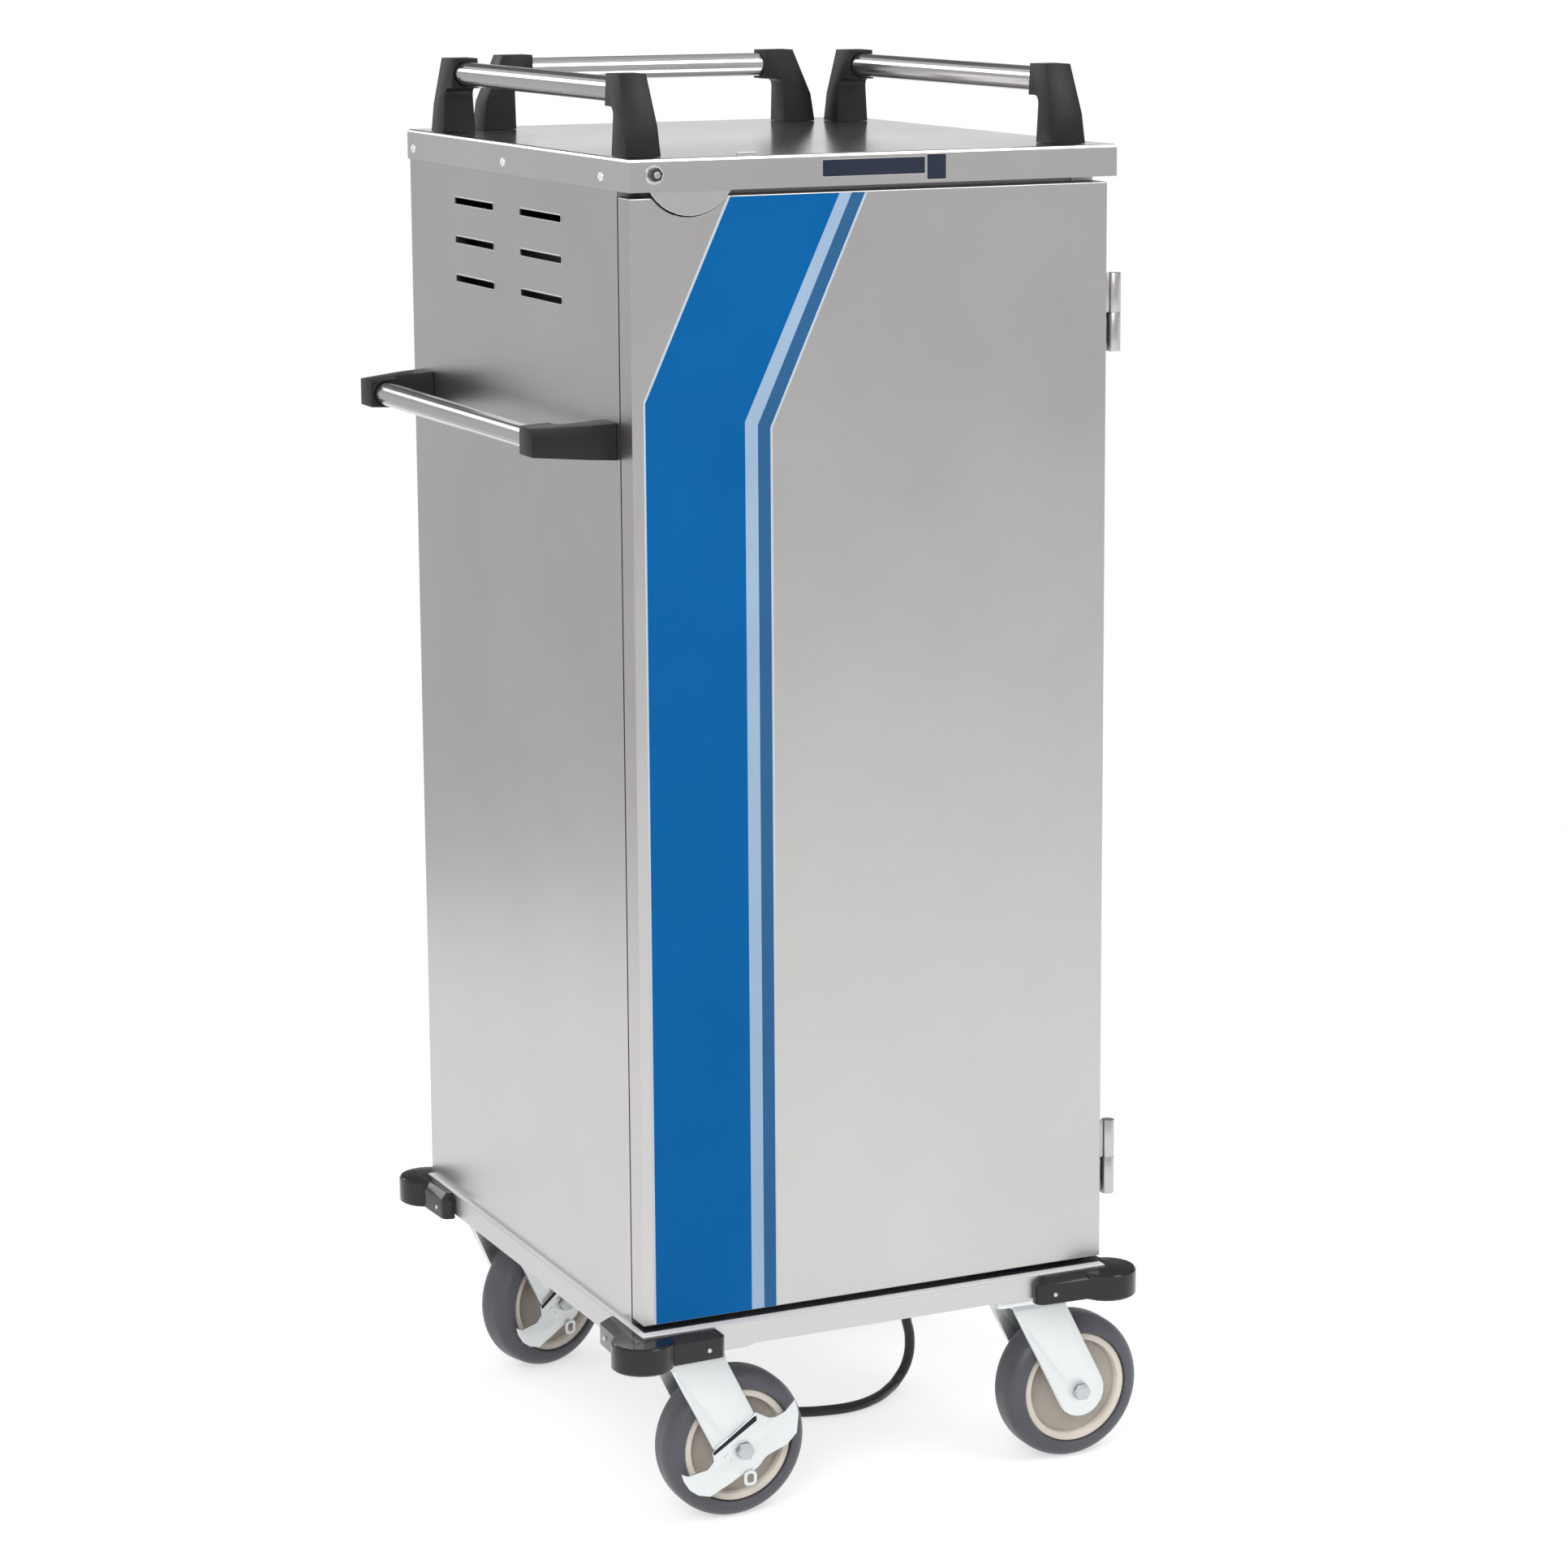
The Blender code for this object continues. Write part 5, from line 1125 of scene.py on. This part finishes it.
class CART_OT_rivets(bpy.types.Operator):
    """Set the rivets in the cover's side and the screws in the bumpers"""

    bl_idname = "cart.rivets"
    bl_label = "Rivets and screws"

    def execute(self, context):
        self.add_rivets(metal("rivet_steel", (0.95, 0.95, 0.94), 0.48, GRAIN_EVEN))
        self.add_bumper_screws(metal("screw_steel", (0.62, 0.62, 0.62), 0.30, GRAIN_EVEN))
        return {"FINISHED"}

    def add_rivets(self, look):
        """Three dimpled rivet heads in a row."""
        radius = sizes().rivet_radius
        height = 1.4030
        profile = [
            (radius, TRIM_GAP),
            (radius, 0.0006),
            (radius * 0.90, 0.0013),
            (radius * 0.66, 0.0020),
            (radius * 0.38, 0.0023),
            (radius * 0.28, 0.0016),
            (radius * 0.08, 0.0015),
        ]
        for index, y in enumerate((0.0723, 0.3404, 0.6128)):
            centre = at(-CAP_SIDE_OVERHANG, y, height)

            def on_side(u, v, h, centre=centre):
                return centre + Vector((-h, u, v))

            shape = turned(profile, on_side, steps=24, closed=False)
            new_piece(f"rivet_{index + 1}", shape, look, "cabinet", smooth_deg=50)

    def add_bumper_screws(self, look):
        """One round-headed screw near the end of each bumper arm."""
        from_end = 0.020
        below_middle = 0.004
        gap = 0.0002
        radius = 0.0026
        profile = [
            (radius, 0.0),
            (radius * 0.92, 0.0009),
            (radius * 0.6, 0.0015),
            (radius * 0.15, 0.0017),
        ]
        along = BUMPER_ARM - from_end
        straight = BUMPER_ARM - BUMPER_END_ROUND
        swell = (BUMPER_ROOT_THICKNESS - BUMPER_TIP_THICKNESS) / (straight + BUMPER_ROOT_THICKNESS)
        face = BUMPER_TIP_THICKNESS + swell * (straight - along) + gap
        low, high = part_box("base_frame")
        z = (low.z + high.z) / 2 - below_middle
        corners = {
            "front_left": (low.x, low.y, 1, 1),
            "front_right": (high.x, low.y, -1, 1),
            "rear_left": (low.x, high.y, 1, -1),
            "rear_right": (high.x, high.y, -1, -1),
        }
        for corner, (x, y, right, back) in corners.items():
            front_arm = Vector((x + right * along, y - back * face, z))
            side_arm = Vector((x - right * face, y + back * along, z))
            ends = (
                (front_arm, Vector((1, 0, 0)), Vector((0, -back, 0))),
                (side_arm, Vector((0, 1, 0)), Vector((-right, 0, 0))),
            )
            for index, (centre, across, out) in enumerate(ends):

                def on_arm(u, v, h, centre=centre, across=across, out=out):
                    return centre + across * u + out * h + Vector((0, 0, v))

                shape = turned(profile, on_arm, steps=20, closed=False)
                name = f"bumper_screw_{index + 1}_{corner}"
                new_piece(name, shape, look, "cabinet", smooth_deg=50)


class CART_OT_latch_bolt(bpy.types.Operator):
    """Replace the latch bolt by a washer, a nut and the bolt's round end"""

    bl_idname = "cart.latch_bolt"
    bl_label = "Latch bolt"

    def execute(self, context):
        low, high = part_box("latch_bolt")
        x = (low.x + high.x) / 2
        z = (low.z + high.z) / 2

        def on_front(u, v, h):
            return Vector((x + u, BODY_FRONT - h, z + v))

        washer = self.add_washer(on_front)
        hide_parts("latch_bolt")
        self.add_nut(on_front)
        self.add_bolt_end(on_front)
        return {"FINISHED"}

    def add_washer(self, place):
        """Flat washer with softened edges."""
        look = metal("washer_steel", (0.88, 0.88, 0.86), 0.22, GRAIN_EVEN)
        bore = 0.004
        reach = 0.0095
        edge = 0.0004
        low = 0.0003
        high = 0.0018
        profile = [
            (bore, low),
            (reach - edge, low),
            (reach, low + edge),
            (reach, high - edge),
            (reach - edge, high),
            (bore, high),
        ]
        shape = turned(profile, place, steps=40)
        return new_piece("bolt_washer", shape, look, "cabinet", smooth_deg=40)

    def add_nut(self, place):
        """Dark hexagon nut, turned a little."""
        look = metal("nut_steel", (0.08, 0.085, 0.08), 0.38, GRAIN_EVEN)
        radius = 0.0072
        turn_deg = 12
        hexagon = []
        for side in range(6):
            angle = math.radians(60 * side + turn_deg)
            hexagon.append((radius * math.cos(angle), radius * math.sin(angle)))
        nut = new_piece("bolt_nut", slab(hexagon, place, 0.0018, 0.0062), look, "cabinet")
        soft_edges(nut, 0.0007)

    def add_bolt_end(self, place):
        """Round end of the bolt in the nut."""
        look = metal("bolt_end_steel", (0.42, 0.43, 0.42), 0.45, GRAIN_EVEN)
        profile = [
            (0.0036, 0.0060),
            (0.0036, 0.0078),
            (0.0030, 0.0085),
            (0.0018, 0.0089),
            (0.0004, 0.0090),
        ]
        shape = turned(profile, place, steps=24, closed=False)
        new_piece("bolt_end", shape, look, "cabinet", smooth_deg=50)


class CART_OT_vents(bpy.types.Operator):
    """Press a soft rim round each vent slot"""

    bl_idname = "cart.vents"
    bl_label = "Vent rims"

    def execute(self, context):
        look = metal("vent_steel", toned(colours().steel, 1.02), 0.36, GRAIN_UPRIGHT)
        panel_low, panel_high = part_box("left_side_panel")
        middle = (panel_low.y + panel_high.y) / 2 + SLOT_BACK_SHIFT
        for column in range(2):
            y = middle + (column - 0.5) * SLOT_COLUMN_STEP
            for row in range(3):
                z = CAP_HIGH.z - SLOT_TOP_DROP - row * SLOT_ROW_STEP
                shape = self.rim(panel_low.x, y, z)
                name = f"vent_rim_{column + 1}_{row + 1}"
                new_piece(name, shape, look, "cabinet", smooth_deg=60)
        return {"FINISHED"}

    def rim(self, face_x, y, z):
        """Rim round a slot; its section runs outwards in shares of the rim's width."""
        section = ((0.0, FILM_GAP), (0.0, 0.0005), (0.35, 0.0008), (0.7, 0.0006), (1.0, TRIM_GAP))
        shape = bmesh.new()
        loops = []
        for share, proud in section:
            grow = sizes().slot_rim * share
            outline = rounded(
                y - SLOT_LENGTH / 2 - grow,
                z - SLOT_HEIGHT / 2 - grow,
                y + SLOT_LENGTH / 2 + grow,
                z + SLOT_HEIGHT / 2 + grow,
                SLOT_CORNER + grow,
            )
            loops.append(loop_of(shape, [Vector((face_x - proud, u, v)) for u, v in outline]))
        hoop(shape, loops)
        return shape


class CART_OT_gasket(bpy.types.Operator):
    """Fit the door's black gasket and the black strip painted as shadow under the door"""

    bl_idname = "cart.gasket"
    bl_label = "Door gasket"

    def execute(self, context):
        # One black rubber look for the gasket and for the painted shadow strip under the door.
        look = moulded(
            "gasket_rubber_and_sill_shade",
            (0.014, 0.018, 0.026),
            roughness=0.5,
            specular=0.4,
            grain_scale=400.0,
            depth=0.00005,
        )
        self.add_gasket(look)
        self.add_painted_sill_shadow(look)
        return {"FINISHED"}

    def add_gasket(self, look):
        """Gasket behind the door, with the notch for the latch plate."""
        margin = 0.0012
        width = 0.012
        play = 0.0002
        back = BODY_FRONT + DOOR_FRONT + DOOR_THICKNESS
        outer = self.outline(margin, 0.0)
        inner = self.outline(margin, width)
        near = back + play
        far = back + DOOR_SEAM - play
        shape = band(outer, inner, lambda u, v, h: Vector((u, h, v)), near, far)
        new_piece("door_gasket", shape, look, "door")

    def outline(self, margin, inset):
        """The door's outline drawn in by the margin and then the inset, round the notch."""
        left = DOOR_LOW.x + margin
        right = DOOR_HIGH.x - margin
        low = DOOR_LOW.z + margin
        high = DOOR_HIGH.z - margin
        belly_x = BODY_LEFT + LATCH_PIVOT[0] + LATCH_BELLY[0]
        belly_z = LATCH_PIVOT[1] + LATCH_BELLY[1]
        radius = LATCH_BELLY_RADIUS + LATCH_NOTCH_GAP + margin
        half_deg = math.degrees(math.acos((belly_z - high) / radius))
        points = [
            (left + inset, low + inset),
            (right - inset, low + inset),
            (right - inset, high - inset),
        ]
        points += arc((belly_x, belly_z), radius + inset, -90 + half_deg, -90 - half_deg, steps=16)
        points += [(left + inset, high - inset)]
        return points

    def add_painted_sill_shadow(self, look):
        """Flat black strip on the frame under the door: painted shadow in the gap beneath the door."""
        side_margin = 0.001
        front_margin = 0.0015
        thick = 0.0010
        left = DOOR_LOW.x + side_margin
        right = DOOR_HIGH.x - side_margin
        front = BODY_FRONT + DOOR_FRONT + front_margin
        back = BODY_FRONT + DOOR_FRONT + DOOR_THICKNESS
        low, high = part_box("base_frame")
        outline = [(left, front), (right, front), (right, back), (left, back)]
        shape = slab(outline, lambda u, v, h: Vector((u, v, h)), high.z + TRIM_GAP, high.z + thick)
        new_piece("sill_painted_shadow", shape, look, "cabinet")


class CART_OT_stage(bpy.types.Operator):
    """Lay the floor and set up the light"""

    bl_idname = "cart.stage"
    bl_label = "Floor and light"

    def execute(self, context):
        scene = context.scene
        scene.view_settings.view_transform = "Standard"
        self.lay_floor(scene)
        self.light_world(scene)
        for name, place, size, power in LAMPS:
            self.add_lamp(scene, name, place, size, power)
        return {"FINISHED"}

    def lay_floor(self, scene):
        """Round pale floor that shows white and keeps the cart's shadow."""
        shape = bmesh.new()
        bmesh.ops.create_circle(shape, cap_ends=True, segments=FLOOR_STEPS, radius=FLOOR_RADIUS)
        mesh = bpy.data.meshes.new("floor")
        shape.to_mesh(mesh)
        shape.free()
        mesh.materials.append(self.floor_look())
        floor = bpy.data.objects.new("floor", mesh)
        floor.location = FLOOR_CENTRE
        scene.collection.objects.link(floor)

    def floor_look(self):
        """Matt floor that adds a glow where it is seen directly."""
        made = bpy.data.materials.new("floor_pale")
        made.use_nodes = True
        tree = made.node_tree
        tree.nodes.clear()
        matt = tree.nodes.new("ShaderNodeBsdfDiffuse")
        matt.inputs["Color"].default_value = (FLOOR_PALE, FLOOR_PALE, FLOOR_PALE, 1.0)
        glow = tree.nodes.new("ShaderNodeEmission")
        total = tree.nodes.new("ShaderNodeAddShader")
        output = tree.nodes.new("ShaderNodeOutputMaterial")
        strength = tree.nodes.new("ShaderNodeMath")
        strength.operation = "MULTIPLY"
        strength.inputs[1].default_value = FLOOR_GLOW
        tree.links.new(self.seen_directly(tree), strength.inputs[0])
        tree.links.new(strength.outputs[0], glow.inputs["Strength"])
        tree.links.new(matt.outputs[0], total.inputs[0])
        tree.links.new(glow.outputs[0], total.inputs[1])
        tree.links.new(total.outputs[0], output.inputs["Surface"])
        return made

    def seen_directly(self, tree):
        """1 for camera, glossy and transmission rays."""
        path = tree.nodes.new("ShaderNodeLightPath")
        seen = path.outputs["Is Camera Ray"]
        for kind in ("Is Glossy Ray", "Is Transmission Ray"):
            either = tree.nodes.new("ShaderNodeMath")
            either.operation = "MAXIMUM"
            tree.links.new(seen, either.inputs[0])
            tree.links.new(path.outputs[kind], either.inputs[1])
            seen = either.outputs[0]
        return seen

    def light_world(self, scene):
        """Plain studio: one level for matt surfaces, and white behind the cart.

        Metal mirrors the wall's levels towards the back right, and else the room's levels.
        """
        world = bpy.data.worlds.new("studio")
        scene.world = world
        world.use_nodes = True
        tree = world.node_tree
        background = tree.nodes["Background"]
        place = tree.nodes.new("ShaderNodeTexCoord")
        split = tree.nodes.new("ShaderNodeSeparateXYZ")
        tree.links.new(place.outputs["Generated"], split.inputs[0])
        room = self.height_ramp(tree, split.outputs["Z"], ROOM_LEVELS)
        wall = self.height_ramp(tree, split.outputs["Z"], WALL_LEVELS)
        towards = tree.nodes.new("ShaderNodeVectorMath")
        towards.operation = "DOT_PRODUCT"
        towards.inputs[1].default_value = WALL_TOWARDS
        tree.links.new(place.outputs["Generated"], towards.inputs[0])
        share = tree.nodes.new("ShaderNodeMapRange")
        share.inputs["From Min"].default_value = WALL_EDGE[0]
        share.inputs["From Max"].default_value = WALL_EDGE[1]
        tree.links.new(towards.outputs["Value"], share.inputs["Value"])
        mirrored_level = self.mixed_level(tree, share.outputs["Result"], room, wall)
        level = self.mixed_level(tree, self.seen_directly(tree), ROOM_DIFFUSE, mirrored_level)
        path = tree.nodes.new("ShaderNodeLightPath")
        shown = self.mixed_level(tree, path.outputs["Is Camera Ray"], level, 1.0)
        tree.links.new(shown, background.inputs["Color"])
        background.inputs["Strength"].default_value = 1.0

    def mixed_level(self, tree, factor, first, second):
        """Two levels mixed by a factor; each is a grey number or a node's output."""
        node = tree.nodes.new("ShaderNodeMix")
        node.data_type = "RGBA"
        tree.links.new(factor, node.inputs[MIX_FACTOR])
        for index, level in ((MIX_FIRST, first), (MIX_SECOND, second)):
            if isinstance(level, float):
                node.inputs[index].default_value = (level, level, level, 1.0)
            else:
                tree.links.new(level, node.inputs[index])
        return node.outputs[MIX_RESULT]

    def height_ramp(self, tree, height, levels):
        """Grey levels at given heights of a direction."""
        ramp = tree.nodes.new("ShaderNodeValToRGB")
        stops = ramp.color_ramp.elements
        while len(stops) < len(levels):
            stops.new(0.5)
        for stop, (position, level) in zip(stops, levels):
            stop.position = position
            stop.color = (level, level, level, 1.0)
        tree.links.new(height, ramp.inputs["Fac"])
        return ramp.outputs["Color"]

    def add_lamp(self, scene, name, place, size, power):
        """Round area lamp that points at the cart."""
        data = bpy.data.lights.new(name, "AREA")
        data.shape = "DISK"
        data.size = size
        data.energy = power
        lamp = bpy.data.objects.new(name, data)
        lamp.location = place
        aim = Vector(LAMP_AIM) - Vector(place)
        lamp.rotation_euler = aim.to_track_quat("-Z", "Y").to_euler()
        scene.collection.objects.link(lamp)


OPERATORS = (
    CART_OT_camera,
    CART_OT_cord,
    CART_OT_stage,
    CART_OT_steel,
    CART_OT_mouldings,
    CART_OT_wheels,
    CART_OT_casters,
    CART_OT_stripes,
    CART_OT_plates,
    CART_OT_rivets,
    CART_OT_latch_bolt,
    CART_OT_vents,
    CART_OT_gasket,
)


class CART_PT_panel(bpy.types.Panel):
    """Lists the cart's steps in the sidebar"""

    bl_idname = "CART_PT_panel"
    bl_label = "Tray delivery cart"
    bl_space_type = "VIEW_3D"
    bl_region_type = "UI"
    bl_category = "Cart"

    def draw(self, context):
        for operator in OPERATORS:
            self.layout.operator(operator.bl_idname)


CLASSES = (CartSizes, CartColours, *OPERATORS, CART_PT_panel)


def register():
    """Add the classes and the scene's settings."""
    for item in CLASSES:
        bpy.utils.register_class(item)
    bpy.types.Scene.cart_sizes = PointerProperty(type=CartSizes)
    bpy.types.Scene.cart_colours = PointerProperty(type=CartColours)


def unregister():
    """Take the scene's settings and the classes away."""
    del bpy.types.Scene.cart_colours
    del bpy.types.Scene.cart_sizes
    for item in reversed(CLASSES):
        bpy.utils.unregister_class(item)


def main():
    """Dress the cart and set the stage."""
    register()
    bpy.ops.cart.camera()
    bpy.ops.cart.cord()
    bpy.ops.cart.stage()
    bpy.ops.cart.steel()
    bpy.ops.cart.mouldings()
    bpy.ops.cart.wheels()
    bpy.ops.cart.casters()
    bpy.ops.cart.stripes()
    bpy.ops.cart.plates()
    bpy.ops.cart.rivets()
    bpy.ops.cart.latch_bolt()
    bpy.ops.cart.vents()
    bpy.ops.cart.gasket()


if __name__ == "__main__":
    main()
